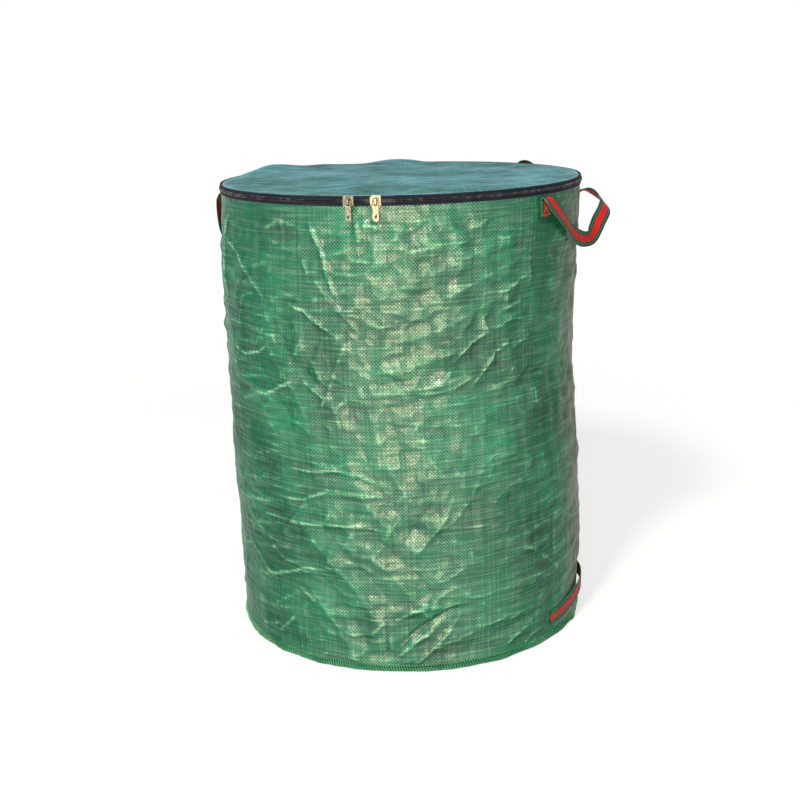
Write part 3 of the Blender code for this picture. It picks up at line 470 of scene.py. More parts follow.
def woven_tarpaulin(name, light, deep, worn, gloss, film):
    """Laminated woven polyethylene: flat tapes in a plain weave under a clear film.
    It gives the eye a fine chequer of crowned tapes, with painted sheen and painted shade on the tapes, lines
    where tapes differ, and an oily gloss.
    The tapes are drawn 2.5 mm wide, coarser than the real 1.7 mm, so that they show."""
    made, tree, shader = new_material(name)
    place = add(tree, "ShaderNodeUVMap", uv_map="cloth")

    # the weave: which tape a point is on, how far across it, and which of the two tapes lies over
    counted = add(tree, "ShaderNodeVectorMath", {0: place, 1: (1 / TAPE_PITCH, 1 / TAPE_PITCH, 1.0)},
                  operation="MULTIPLY")
    inside = add(tree, "ShaderNodeVectorMath", {0: counted}, operation="FRACTION")
    number = add(tree, "ShaderNodeVectorMath", {0: counted}, operation="FLOOR")
    part = add(tree, "ShaderNodeSeparateXYZ", {0: inside})
    which = add(tree, "ShaderNodeSeparateXYZ", {0: number})
    turns = [add(tree, "ShaderNodeMath", {0: part.outputs[axis], 1: math.pi}, operation="MULTIPLY")
             for axis in (0, 1)]
    arcs = [add(tree, "ShaderNodeMath", {0: turn}, operation="SINE") for turn in turns]
    crowns = [add(tree, "ShaderNodeMath", {0: arc, 1: 0.45}, operation="POWER") for arc in arcs]
    over = [add(tree, "ShaderNodeMath", {0: crown, 1: arc}, operation="MULTIPLY")
            for crown, arc in zip(crowns, reversed(arcs))]
    both_ways = add(tree, "ShaderNodeMath", {0: which.outputs[0], 1: which.outputs[1]}, operation="ADD")
    upper = add(tree, "ShaderNodeMath", {0: both_ways, 1: 2.0}, operation="FLOORED_MODULO")
    height = add(tree, "ShaderNodeMix", {0: upper, 2: over[0], 3: over[1]}, data_type="FLOAT")
    tapes = [add(tree, "ShaderNodeTexWhiteNoise", {"W": which.outputs[axis]}, noise_dimensions="1D")
             for axis in (0, 1)]
    tape_tone = add(tree, "ShaderNodeMix", {0: upper, 2: tapes[0], 3: tapes[1]}, data_type="FLOAT")

    # uneven dye, and streaks of differing tone along the tapes of both directions
    blotch = add(tree, "ShaderNodeTexNoise", {"Vector": place, "Scale": 7.0, "Detail": 5.0,
                                              "Roughness": 0.62})
    laid = add(tree, "ShaderNodeVectorMath", {0: place, 1: (12.0, 300.0, 1.0)}, operation="MULTIPLY")
    pick = add(tree, "ShaderNodeTexNoise", {"Vector": laid, "Scale": 1.0, "Detail": 3.0})
    hung = add(tree, "ShaderNodeVectorMath", {0: place, 1: (260.0, 7.0, 1.0)}, operation="MULTIPLY")
    warp = add(tree, "ShaderNodeTexNoise", {"Vector": hung, "Scale": 1.0, "Detail": 3.0})
    plaid = add(tree, "ShaderNodeMath", {0: warp, 1: 0.6, 2: pick}, operation="MULTIPLY_ADD")
    plaid = add(tree, "ShaderNodeMapRange", {"Value": plaid, "From Min": 0.66, "From Max": 0.98})
    tone = add(tree, "ShaderNodeMapRange", {"Value": blotch, "From Min": 0.34, "From Max": 0.66})
    base = add(tree, "ShaderNodeMix", {0: tone, 6: linear(deep), 7: linear(light)}, data_type="RGBA")

    # crests rubbed pale as worn creases are, crests lit with painted light and troughs darkened with painted
    # shade, by each point's fold
    fold = add(tree, "ShaderNodeAttribute", attribute_name="fold").outputs["Fac"]
    painted_side_reflection = add(tree, "ShaderNodeAttribute", attribute_name="painted_side_reflection").outputs["Fac"]
    lines = add(tree, "ShaderNodeMapRange", {"Value": plaid, "From Min": 0.40, "From Max": 1.0,
                                             "To Max": 0.12})
    rubbed = add(tree, "ShaderNodeMapRange", {"Value": fold, "From Min": 0.35, "From Max": 2.4,
                                              "To Max": 0.65})
    broken = add(tree, "ShaderNodeMath", {0: rubbed, 1: plaid}, operation="MULTIPLY")
    pale = add(tree, "ShaderNodeMath", {0: lines, 1: broken}, operation="ADD")
    streaked = add(tree, "ShaderNodeMix", {0: pale, 6: base.outputs[2], 7: linear(worn)}, data_type="RGBA")
    # painted reflection: olive brown of the ground mixed into the right side's colour
    streaked = add(tree, "ShaderNodeMix", {0: painted_side_reflection, 6: streaked.outputs[2], 7: linear(PAINTED_REFLECTION_OLIVE)},
                   data_type="RGBA")
    # painted shade in the crease troughs and painted light on the crests
    painted_crease_shade = add(tree, "ShaderNodeMapRange", {"Value": fold, "From Min": -1.1, "From Max": 1.1,
                                              "To Min": -0.34, "To Max": 0.22})
    shade = add(tree, "ShaderNodeMath", {0: tape_tone, 1: 0.18, 2: 0.38}, operation="MULTIPLY_ADD")
    shade = add(tree, "ShaderNodeMath", {0: shade, 1: painted_crease_shade}, operation="ADD")
    # painted sheen: the two ways of tape drawn in two tones, for the different gloss each throws back
    chequer_and_painted_sheen = add(tree, "ShaderNodeMath", {0: upper, 1: 0.60, 2: shade}, operation="MULTIPLY_ADD")
    # painted light and shade: each tape lighter on its crown and darker where it dips between the others
    seat = add(tree, "ShaderNodeMath", {0: height, 1: 0.24, 2: chequer_and_painted_sheen}, operation="MULTIPLY_ADD")
    toned = add(tree, "ShaderNodeVectorMath", {0: streaked.outputs[2], "Scale": seat}, operation="SCALE")
    clouded = add(tree, "ShaderNodeMath", {0: pick, 1: blotch}, operation="ADD")
    dulled = add(tree, "ShaderNodeMapRange", {"Value": clouded, "From Min": 0.8, "From Max": 1.2,
                                              "To Min": gloss + 0.10, "To Max": gloss - 0.08})

    # crumpled facets about 20 mm across, under the tapes' own crowns
    warped = add(tree, "ShaderNodeTexNoise", {"Vector": place, "Scale": 30.0, "Detail": 2.0})
    drift = add(tree, "ShaderNodeVectorMath", {0: warped.outputs["Color"], "Scale": 0.018}, operation="SCALE")
    moved = add(tree, "ShaderNodeVectorMath", {0: place, 1: drift}, operation="ADD")
    crush = add(tree, "ShaderNodeTexVoronoi", {"Vector": moved, "Scale": 46.0})
    crumpled = add(tree, "ShaderNodeBump", {"Strength": 0.85, "Distance": 0.0036, "Height": crush})
    surface = add(tree, "ShaderNodeBump", {"Strength": 0.8, "Distance": 0.00014, "Height": height,
                                           "Normal": crumpled})

    # the clear film: strongest face-on, patchy with the streaks, and differing by the way a tape runs
    facing = add(tree, "ShaderNodeLayerWeight", {"Blend": 0.5}).outputs["Facing"]
    filmed = add(tree, "ShaderNodeMapRange", {"Value": facing, "From Min": 0.08, "From Max": 0.42,
                                              "To Min": film, "To Max": film * 0.22})
    uneven = add(tree, "ShaderNodeMath", {0: plaid, 1: 0.7, 2: 0.60}, operation="MULTIPLY_ADD")
    filmed = add(tree, "ShaderNodeMath", {0: filmed, 1: uneven}, operation="MULTIPLY")
    turned_away = add(tree, "ShaderNodeMath", {0: upper, 1: 0.56, 2: 0.57}, operation="MULTIPLY_ADD")
    filmed = add(tree, "ShaderNodeMath", {0: filmed, 1: turned_away}, operation="MULTIPLY")
    settle(tree, shader, {
        "Base Color": toned, "Roughness": dulled, "Normal": surface, "IOR": 1.5, "Specular IOR Level": 0.06,
        "Coat Weight": filmed, "Coat Tint": linear("fffdf0"), "Coat IOR": 2.0, "Coat Roughness": 0.32,
        "Coat Normal": surface})
    return made


wall_tarp = woven_tarpaulin("green woven tarpaulin", "1a8a68", "065a43", "b0e0c0", 0.42, 0.92)
azimuths = np.concatenate((np.linspace(-180.0, -FRONT_HALF, WALL_COLUMNS_BACK // 2, endpoint=False),
                           np.linspace(-FRONT_HALF, FRONT_HALF, WALL_COLUMNS_FRONT, endpoint=False),
                           np.linspace(FRONT_HALF, 180.0, WALL_COLUMNS_BACK // 2 + 1)))
heights = WALL_LOW + (WALL_HIGH - WALL_LOW) * np.arange(WALL_ROWS + 1) / WALL_ROWS
turn_grid, height_grid = np.meshgrid(azimuths[:-1], heights, indexing="ij")
wall_relief = relief(turn_grid, height_grid)
wall_points = on_wall(turn_grid, wall_relief, height_grid)
map_turns, map_heights = np.meshgrid(np.radians(azimuths + 180.0) * RADIUS, heights, indexing="ij")
wall = skin("wall_cloth", wall_points, np.stack((map_turns, map_heights), -1), wall_tarp, along=True)
mark_folds(wall, wall_relief, True)
# painted reflection: olive brown mixed into the wall from 52 to 118 degrees round, up to 72%
cast = ease((turn_grid - 52.0) / 26.0) * ease((118.0 - turn_grid) / 20.0)
cast *= 0.72 * np.clip(0.85 + 0.3 * swell(turn_grid, height_grid, 2.4, 0.30, 71), 0.0, 1.0)
keep_on_points(wall, "painted_side_reflection", cast)
thicken(wall, CLOTH)
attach(wall, "root")
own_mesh(wall)
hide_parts("wall_panel")

# BASE PANEL AND BASE SEAM
# The round floor of the bag is the same tarpaulin. Its edge and the wall's edge are overlocked
# together and left hanging as a short ruffled skirt, bound by slanting thread, all round the foot.
SKIRT_IN, SKIRT_OUT, SKIRT_HIGH = 0.2791, 0.2812, 0.0067
SKIRT_STEPS = 900
OVERLOCK_STITCH = 0.0040
THREAD = 0.00050
BASE_RADIUS = 0.2784
NEEDLE_LINE = 0.0112


def round_axis(r, a, z):
    """Points at a radius, an angle from the front and a height."""
    return np.stack((r * np.sin(a), -r * np.cos(a), z + 0.0 * a), -1)


def disc_cloth(name, radius, rows, lift, material):
    """A round of cloth on an even grid, with its height given by a function of place."""
    steps = np.linspace(-1.0, 1.0, rows)
    u, v = np.meshgrid(steps, steps, indexing="ij")
    x, y = radius * u * np.sqrt(1 - v * v / 2), radius * v * np.sqrt(1 - u * u / 2)
    z = lift(x, y)
    cloth = skin(name, np.stack((x, y, z), -1), np.stack((x, y), -1), material)
    mark_folds(cloth, z, False)
    return cloth


def threads(name, paths, outs, radii, sides, material):
    """Many short threads in one mesh. All paths have as many points, each with a way out and a radius."""
    paths, outs = np.asarray(paths, float), np.asarray(outs, float)
    many, count = paths.shape[:2]
    ahead = np.gradient(paths, axis=1)
    ahead /= np.linalg.norm(ahead, axis=2, keepdims=True) + 1e-12
    outs = outs - ahead * (outs * ahead).sum(2, keepdims=True)
    outs /= np.linalg.norm(outs, axis=2, keepdims=True) + 1e-12
    across = np.cross(ahead, outs)
    turns = 2 * np.pi * np.arange(sides) / sides
    radii = np.asarray(radii, float)[None, :, None, None]
    ring = radii * (outs[:, :, None, :] * np.cos(turns)[:, None]
                    + across[:, :, None, :] * np.sin(turns)[:, None])
    points = (paths[:, :, None, :] + ring).reshape(-1, 3)
    own = np.arange(many)[:, None, None] * count * sides
    i, j = np.meshgrid(np.arange(count - 1), np.arange(sides), indexing="ij")
    after = (j + 1) % sides
    quads = np.stack((i * sides + j, i * sides + after, (i + 1) * sides + after, (i + 1) * sides + j), -1)
    faces = (quads.reshape(1, -1, 4) + own).reshape(-1, 4).tolist()
    caps = np.stack((np.arange(sides)[::-1], (count - 1) * sides + np.arange(sides)))
    faces += (caps.reshape(1, -1, sides) + own).reshape(-1, sides).tolist()
    mesh = bpy.data.meshes.new(name)
    mesh.from_pydata(points, [], faces)
    mesh.shade_smooth()
    mesh.materials.append(material)
    return placed(name, mesh)


def spun_thread(name, light, deep, rough):
    """Polyester sewing thread: matt, twisted, with a painted highlight that makes it a little lighter on its
    crowns.
    """
    made, tree, shader = new_material(name)
    place = add(tree, "ShaderNodeTexCoord").outputs["Object"]
    fibre = add(tree, "ShaderNodeTexNoise", {"Vector": place, "Scale": 900.0, "Detail": 2.0})
    patch = add(tree, "ShaderNodeTexNoise", {"Vector": place, "Scale": 30.0, "Detail": 3.0})
    share = add(tree, "ShaderNodeMath", {0: fibre, 1: patch}, operation="MULTIPLY")
    spread = add(tree, "ShaderNodeMapRange", {"Value": share, "From Min": 0.12, "From Max": 0.40})
    # painted highlight: lighter where the twist stands highest, by the same noise as its bump
    hue = add(tree, "ShaderNodeMix", {0: spread, 6: linear(deep), 7: linear(light)}, data_type="RGBA")
    bump = add(tree, "ShaderNodeBump", {"Strength": 0.5, "Distance": 0.0002, "Height": fibre})
    settle(tree, shader, {"Base Color": hue.outputs[2], "Normal": bump, "Roughness": rough,
                          "Specular IOR Level": 0.2})
    return made


base_tarp = woven_tarpaulin("green woven tarpaulin, base", "2a7d57", "165c3d", "4f9472", 0.42, 0.12)
base_cloth = disc_cloth("base_cloth", BASE_RADIUS, 90,
                        lambda x, y: 0.0009 + 0.0003 * swell(np.degrees(x / RADIUS), y + 0.3, 9.0, 0.06, 21),
                        base_tarp)
thicken(base_cloth, CLOTH)
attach(base_cloth, "root")
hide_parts("base_panel")


def skirt_place(turns, out_share, up_share):
    """A point of the skirt: from its inner to its outer face, and from its hem to its seam."""
    turns = np.asarray(turns, float)
    flat = np.zeros(turns.shape)
    seat = np.clip(relief(turns, flat + WALL_LOW), 0.0, 0.0030)
    wave = 0.0018 * swell(turns, flat, 5.5, 0.1, 31) + 0.0009 * swell(turns, flat, 2.4, 0.1, 33)
    flare = (1.0 - up_share)**1.4
    r = SKIRT_IN + (SKIRT_OUT - SKIRT_IN) * out_share + seat + flare * (0.0006 + np.maximum(wave, -0.0004))
    hem = 0.0004 + 0.0011 * (0.5 + 0.5 * swell(turns, flat, 4.2, 0.1, 32))
    z = hem + (SKIRT_HIGH - hem) * up_share
    return round_axis(r, np.radians(turns), z)


skirt_shares = ((0.0, 0.06), (0.0, 0.5), (0.0, 0.94), (0.12, 0.99), (0.5, 1.0), (0.88, 0.99), (1.0, 0.93),
                (0.98, 0.86), (0.72, 0.80), (0.74, 0.5), (0.86, 0.22), (0.90, 0.10), (0.78, 0.02),
                (0.45, 0.0), (0.12, 0.02))
skirt_turns = -180.0 + 360.0 * np.arange(SKIRT_STEPS) / SKIRT_STEPS
skirt_points = [skirt_place(skirt_turns, out_share, up_share) for out_share, up_share in skirt_shares]
skirt_map = [np.stack((np.radians(skirt_turns) * RADIUS,
                       np.full(SKIRT_STEPS, up_share * 0.0065 + out_share * 0.002)), -1)
             for out_share, up_share in skirt_shares]
skirt_cloth = woven_tarpaulin("green woven tarpaulin, seam edge", "2f8a61", "1a6344", "5aa581", 0.42, 0.14)
skirt = skin("base_seam_skirt", np.stack(skirt_points, 1), np.stack(skirt_map, 1), skirt_cloth,
             around=True, along=True)
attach(skirt, "root")
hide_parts("base_seam_overlock")

# each stitch starts at the needle line on the wall, then goes over the skirt's face and under its hem
stitch_count = round(GIRTH / OVERLOCK_STITCH)
stitch_turns = -180.0 + 360.0 * np.arange(stitch_count) / stitch_count
above_cloth = relief(stitch_turns, 0 * stitch_turns + NEEDLE_LINE) + THREAD * 0.5
wraps = [on_wall(stitch_turns, above_cloth, NEEDLE_LINE)]
wrap_outs = [round_axis(1.0, np.radians(stitch_turns), 0.0)]
for share, out_share, up_share in ((0.30, 1.10, 1.0), (0.45, 1.02, 0.70), (0.65, 1.02, 0.36),
                                   (0.88, 1.02, 0.10), (1.0, 0.60, -0.02)):
    turns = stitch_turns + share * 0.75
    wraps.append(skirt_place(turns, out_share, up_share))
    wrap_outs.append(round_axis(1.0, np.radians(turns), -0.6 * (share > 0.8)))
overlock_thread = spun_thread("spun polyester overlock thread, green", "8fd9b1", "3f9068", 0.7)
overlock = threads("base_seam_overlock_thread", np.stack(wraps, 1), np.stack(wrap_outs, 1), [THREAD] * 6, 5,
                   overlock_thread)
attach(overlock, "root")

# BASE HEM, COIL CASING, COIL AND THEIR HARDWARE
# A strip of tarpaulin sewn inside the foot holds the base hoop. A narrower one follows the coil
# of tempered spring wire that stands the bag up, and soft caps cover the coil's ends.
HEM_STEPS = 180
CASING_STEPS = 96
COIL_POINTS = 96
WIRE = 0.0016
COIL_DEPTH = 0.0019
LEG_DEPTH = 0.003


def ring_skin(name, profile, cloth_of, material, steps=HEM_STEPS, span=None):
    """A profile of radius and height carried round the bag's axis, all round or over a span of azimuths."""
    if span is None:
        turns = -180.0 + 360.0 * np.arange(steps) / steps
    else:
        turns = np.linspace(span[0], span[1], steps)
    a = np.radians(turns)
    points = [round_axis(r, a, z) for r, z in profile]
    maps = [np.stack((a * RADIUS, np.full(len(turns), across)), -1) for across in cloth_of]
    return skin(name, np.stack(points, 1), np.stack(maps, 1), material, around=True, along=span is None,
                ends=span is not None)


def rounded(corners, cut, steps=3):
    """A closed profile with each corner cut round."""
    result = []
    count = len(corners)
    for k in range(count):
        before, here, after = (np.array(corners[(k + d) % count], float) for d in (-1, 0, 1))
        to_before, to_after = before - here, after - here
        reach = min(cut, np.linalg.norm(to_before) / 2.2, np.linalg.norm(to_after) / 2.2)
        start = here + to_before / np.linalg.norm(to_before) * reach
        end = here + to_after / np.linalg.norm(to_after) * reach
        for step in range(steps):
            t = step / (steps - 1)
            result.append(tuple((1 - t)**2 * start + 2 * t * (1 - t) * here + t * t * end))
    return result


def run_length(profile):
    """How far along its own outline each point of a profile lies."""
    steps = [0.0] + [math.dist(a, b) for a, b in zip(profile, profile[1:])]
    return np.cumsum(steps)


hem_tarp = woven_tarpaulin("green woven tarpaulin, hems", "2c805a", "186043", "549a77", 0.44, 0.12)
base_hem_profile = rounded(((0.2787, 0.0097), (0.2714, 0.0097), (0.2714, 0.0013), (0.2724, 0.0013),
                            (0.2724, 0.0087), (0.2787, 0.0087)), 0.0022)
base_hem = ring_skin("base_hem_cloth", base_hem_profile, run_length(base_hem_profile), hem_tarp)
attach(base_hem, "root")
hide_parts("base_hem")


def behind_wall(turns_run, depth, rise):
    """Points on the coil's line, at a depth behind the cloth and a rise off the line."""
    azimuth = -180.0 + 360.0 * turns_run
    z = COIL_LOW + (COIL_HIGH - COIL_LOW) * turns_run / COIL_TURNS
    flat_share = math.cos(math.pi / 60)
    lean, girth = bow(z)
    r = (girth - 0.001) * flat_share - 0.0006 - depth
    a = np.radians(azimuth)
    return np.stack((r * np.sin(a) + lean, -r * np.cos(a), z + rise), -1)


casing_run = np.linspace(6.0 / 360.0, COIL_TURNS - 6.0 / 360.0, CASING_STEPS * COIL_TURNS)
casing_profile = rounded(((0.0, -0.0038), (0.0038, -0.0011), (0.0038, 0.0011), (0.0, 0.0038),
                          (0.0, 0.0046), (0.0046, 0.0015), (0.0046, -0.0015), (0.0, -0.0046)), 0.0007, 2)
casing_lengths = run_length(casing_profile)
casing_points = np.stack([behind_wall(casing_run, depth, rise) for depth, rise in casing_profile], 1)
casing_map = np.stack([np.stack((casing_run * GIRTH, np.full(len(casing_run), s)), -1)
                       for s in casing_lengths], 1)
casing = skin("spring_casing_cloth", casing_points, casing_map, hem_tarp, around=True, ends=True)
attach(casing, "root")
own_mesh(casing)
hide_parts("spring_casing")


def drawn_steel(name, code, dull):
    """Drawn spring wire, oil tempered: dark bright grey, mottled with fine drawing marks."""
    made, tree, shader = new_material(name)
    place = add(tree, "ShaderNodeTexCoord").outputs["Object"]
    marks = add(tree, "ShaderNodeTexNoise", {"Vector": place, "Scale": 420.0, "Detail": 4.0})
    tone = add(tree, "ShaderNodeMix", {0: marks, 6: linear(dull), 7: linear(code)}, data_type="RGBA")
    rough = add(tree, "ShaderNodeMapRange", {"Value": marks, "To Min": 0.25, "To Max": 0.5})
    settle(tree, shader, {"Base Color": tone.outputs[2], "Roughness": rough, "Metallic": 1.0})
    return made


def moulded_vinyl(name, code, worn):
    """Dipped soft vinyl: near black, satin, with a faint orange-peel skin."""
    made, tree, shader = new_material(name)
    place = add(tree, "ShaderNodeTexCoord").outputs["Object"]
    peel = add(tree, "ShaderNodeTexNoise", {"Vector": place, "Scale": 700.0, "Detail": 2.0})
    tone = add(tree, "ShaderNodeMix", {0: peel, 6: linear(code), 7: linear(worn)}, data_type="RGBA")
    bump = add(tree, "ShaderNodeBump", {"Strength": 0.25, "Distance": 0.0002, "Height": peel})
    settle(tree, shader, {"Base Color": tone.outputs[2], "Normal": bump, "Roughness": 0.42})
    return made


steel = drawn_steel("oil tempered spring wire", "8f9094", "5c5d62")
coil_run = np.linspace(0.0, float(COIL_TURNS), COIL_POINTS * COIL_TURNS + 1)
coil_line = behind_wall(coil_run, COIL_DEPTH, 0.0)
LEG_TURN = math.degrees(0.015 / RADIUS) / 360.0
start_leg = [behind_wall(np.array([-LEG_TURN * s]), COIL_DEPTH + LEG_DEPTH * s, 0.0)[0] for s in (1.0, 0.5)]
end_leg = [behind_wall(np.array([COIL_TURNS + LEG_TURN * s]), COIL_DEPTH + LEG_DEPTH * s, 0.0)[0]
           for s in (0.5, 1.0)]
for leg, level_z in ((start_leg, COIL_LOW), (end_leg, COIL_HIGH)):
    for point in leg:
        point[2] = level_z
coil_line = np.concatenate((start_leg, coil_line, end_leg))
coil_out = coil_line * (1.0, 1.0, 0.0)
coil = threads("pop_up_coil", coil_line[None], coil_out[None], [WIRE] * len(coil_line), 8, steel)
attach(coil, "root")
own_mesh(coil)
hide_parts("pop_up_spring")

vinyl = moulded_vinyl("dipped vinyl, black", "17181a", "2a2b2e")
for name, material in (("base_hoop", steel), ("rim_hoop", steel), ("base_hoop_ferrule", steel),
                       ("rim_hoop_ferrule", steel), ("spring_lower_cap", vinyl), ("spring_upper_cap", vinyl)):
    nodes[name].data.materials.clear()
    nodes[name].data.materials.append(material)

# RIM HEM
# The wall's top edge is turned in over the rim hoop and sewn.
# So a strip of tarpaulin covers the wire that keeps the mouth round, just under the zip.
rim_hem_profile = rounded(((0.2787, 0.7008), (0.2714, 0.7008), (0.2714, 0.6925), (0.2787, 0.6925),
                           (0.2787, 0.6935), (0.2724, 0.6935), (0.2724, 0.6998), (0.2787, 0.6998)), 0.0022)
rim_hem = ring_skin("rim_hem_cloth", rim_hem_profile, run_length(rim_hem_profile), hem_tarp)
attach(rim_hem, "top")
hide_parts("rim_hem")

# ZIP TAPES, COIL TEETH AND HINGE TAPE
# A black polyester coil zip runs round the rim: one tape is sewn to the wall and one to the lid.
# The teeth are a nylon line wound into loops, and at the back a plain strip of tape is the hinge.
ZIP_Z = 0.7056
ZIP_END = 168.0
TEETH_END = 165.0
TOOTH_PITCH = 0.0021
TOOTH_POINTS = 8
TOOTH_LINE = 0.00034
TOOTH_RING, TOOTH_OUT, TOOTH_UP, TOOTH_OFF = 0.2823, 0.00052, 0.00098, 0.0012
TAPE_IN, TAPE_OUT = 0.2803, 0.2811
HINGE_LOW, HINGE_HIGH, HINGE_SPAN = 0.6986, 0.7123, (168.5, 191.5)
STITCH_PITCH = 0.0034


def woven_zip_tape(name, code, worn):
    """Black polyester zip tape: a fine ribbed weave, matt, greyed in patches and with a painted sheen where
    light rakes its ribs.
    """
    made, tree, shader = new_material(name)
    place = add(tree, "ShaderNodeUVMap", uv_map="cloth")
    ribs = add(tree, "ShaderNodeVectorMath", {0: place, 1: (4200.0, 5200.0, 1.0)}, operation="MULTIPLY")
    waves = add(tree, "ShaderNodeVectorMath", {0: ribs}, operation="SINE")
    part = add(tree, "ShaderNodeSeparateXYZ", {0: waves})
    grain = add(tree, "ShaderNodeMath", {0: part.outputs[0], 1: part.outputs[1]}, operation="MULTIPLY")
    patch = add(tree, "ShaderNodeTexNoise", {"Vector": place, "Scale": 60.0, "Detail": 4.0})
    share = add(tree, "ShaderNodeMath", {0: grain, 1: 0.22, 2: patch}, operation="MULTIPLY_ADD")
    spread = add(tree, "ShaderNodeMapRange", {"Value": share, "From Min": 0.3, "From Max": 0.85})
    # painted sheen on the ribs, with patches of greyer tone
    tone = add(tree, "ShaderNodeMix", {0: spread, 6: linear(code), 7: linear(worn)}, data_type="RGBA")
    bump = add(tree, "ShaderNodeBump", {"Strength": 0.5, "Distance": 0.0003, "Height": grain})
    settle(tree, shader, {"Base Color": tone.outputs[2], "Normal": bump, "Roughness": 0.72,
                          "Specular IOR Level": 0.15})
    return made


def wound_nylon(name, code, worn):
    """Black nylon monofilament coil: smooth, satin, with painted highlights: pale specks of glint along its
    loops.
    """
    made, tree, shader = new_material(name)
    place = add(tree, "ShaderNodeTexCoord").outputs["Object"]
    # painted highlights: pale specks of glint, mixed in by noise
    painted_glints = add(tree, "ShaderNodeTexNoise", {"Vector": place, "Scale": 120.0, "Detail": 3.0})
    spread = add(tree, "ShaderNodeMapRange", {"Value": painted_glints, "From Min": 0.50, "From Max": 0.64})
    tone = add(tree, "ShaderNodeMix", {0: spread, 6: linear(code), 7: linear(worn)}, data_type="RGBA")
    settle(tree, shader, {"Base Color": tone.outputs[2], "Roughness": 0.32})
    return made


zip_tape = woven_zip_tape("black polyester zip tape", "0d1120", "2b3044")
nylon = wound_nylon("black nylon coil", "1b1e29", "756f64")
for name, body, low, high, node in (("lower_zip_tape_cloth", "top", 0.6986, 0.7048, "lower_zip_tape"),
                                    ("upper_zip_tape_cloth", "lid", 0.7064, 0.7126, "upper_zip_tape")):
    profile = rounded(((TAPE_IN, low), (TAPE_OUT, low), (TAPE_OUT, high), (TAPE_IN, high)), 0.0003)
    tape = ring_skin(name, profile, run_length(profile), zip_tape, steps=520, span=(-ZIP_END, ZIP_END))
    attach(tape, body)
    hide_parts(node)

turns_of_teeth = int(math.radians(2 * TEETH_END) * TOOTH_RING / TOOTH_PITCH)
tooth_steps = np.arange(turns_of_teeth * TOOTH_POINTS + 1) / TOOTH_POINTS
for name, body, side, node in (("lower_zip_teeth", "top", -1, "lower_zip_coil"),
                               ("upper_zip_teeth", "lid", 1, "upper_zip_coil")):
    phase = 2 * np.pi * (tooth_steps + (0.5 if side > 0 else 0.0))
    a = np.radians(-TEETH_END + 2 * TEETH_END * tooth_steps / turns_of_teeth)
    r = TOOTH_RING + TOOTH_OUT * np.cos(phase)
    line = round_axis(r, a, ZIP_Z + side * TOOTH_OFF + side * TOOTH_UP * np.sin(phase))
    core = round_axis(TOOTH_RING, a, ZIP_Z + side * TOOTH_OFF)
    teeth = threads(name, line[None], (line - core)[None], [TOOTH_LINE] * len(line), 5, nylon)
    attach(teeth, body)
    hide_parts(node)


def stitch_row(name, starts, ends, outs, radius, material, body):
    """A row of lock stitches, each a short thread that bows out of the cloth between its holes."""
    starts, ends, outs = (np.asarray(x, float) for x in (starts, ends, outs))
    bite = radius * 0.9
    paths = [starts - outs * bite, starts * 0.82 + ends * 0.18 + outs * bite * 0.5,
             (starts + ends) / 2 + outs * bite * 0.8, starts * 0.18 + ends * 0.82 + outs * bite * 0.5,
             ends - outs * bite]
    row = threads(name, np.stack(paths, 1), np.stack([outs] * 5, 1), [radius] * 5, 5, material)
    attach(row, body)


tape_thread = spun_thread("spun polyester thread, black", "4b4f58", "1b1d23", 0.75)
for name, body, z in (("lower_zip_stitching", "top", 0.6999), ("upper_zip_stitching", "lid", 0.7114)):
    count = int(math.radians(2 * ZIP_END - 1.0) * RADIUS / STITCH_PITCH)
    a = np.radians(-ZIP_END + 0.5) + np.arange(count) * STITCH_PITCH / RADIUS
    b = a + 0.74 * STITCH_PITCH / RADIUS
    r = TAPE_OUT + 0.0001
    starts, ends, outs = round_axis(r, a, z), round_axis(r, b, z), round_axis(1.0, a, 0.0)
    stitch_row(name, starts, ends, outs, 0.00026, tape_thread, body)

hinge_heights = (0.7020, 0.7040, 0.7060, 0.7080, 0.7100)
hinge_outline = [(TAPE_IN, HINGE_LOW), (TAPE_OUT, HINGE_LOW), *((TAPE_OUT, z) for z in hinge_heights),
                 (TAPE_OUT, HINGE_HIGH), (TAPE_IN, HINGE_HIGH),
                 *((TAPE_IN, z) for z in reversed(hinge_heights))]
hinge_profile = rounded(hinge_outline, 0.0003, 2)
hinge = ring_skin("lid_hinge_strip", hinge_profile, run_length(hinge_profile), zip_tape, steps=60,
                  span=HINGE_SPAN)
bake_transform(hinge)
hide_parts("lid_hinge_tape")

# LID
# A round of the same tarpaulin, drawn bluer than the wall: the blue is a painted reflection of cool light
# from above.
# Its edge is turned and sewn to the upper tape.
# It lies slack: soft streaks of ripples cross it and it puffs up near the back left edge.
LID_RADIUS = RADIUS - 0.0002
LID_HIGH = 0.7126
LID_EDGE_LOW = 0.7106
LID_RISE = 0.0150
LID_ROWS = 170
lid_ring_shares = ((1.0, 0.0), (0.975, 0.55), (0.93, 1.0), (0.86, 0.7), (0.72, 0.25), (0.45, 0.0), (0.0, 0.0))
lid_rises = ((-123.0, 24.0, 0.80), (-150.0, 20.0, 0.20), (-178.0, 17.0, 0.40), (108.0, 16.0, 0.15))


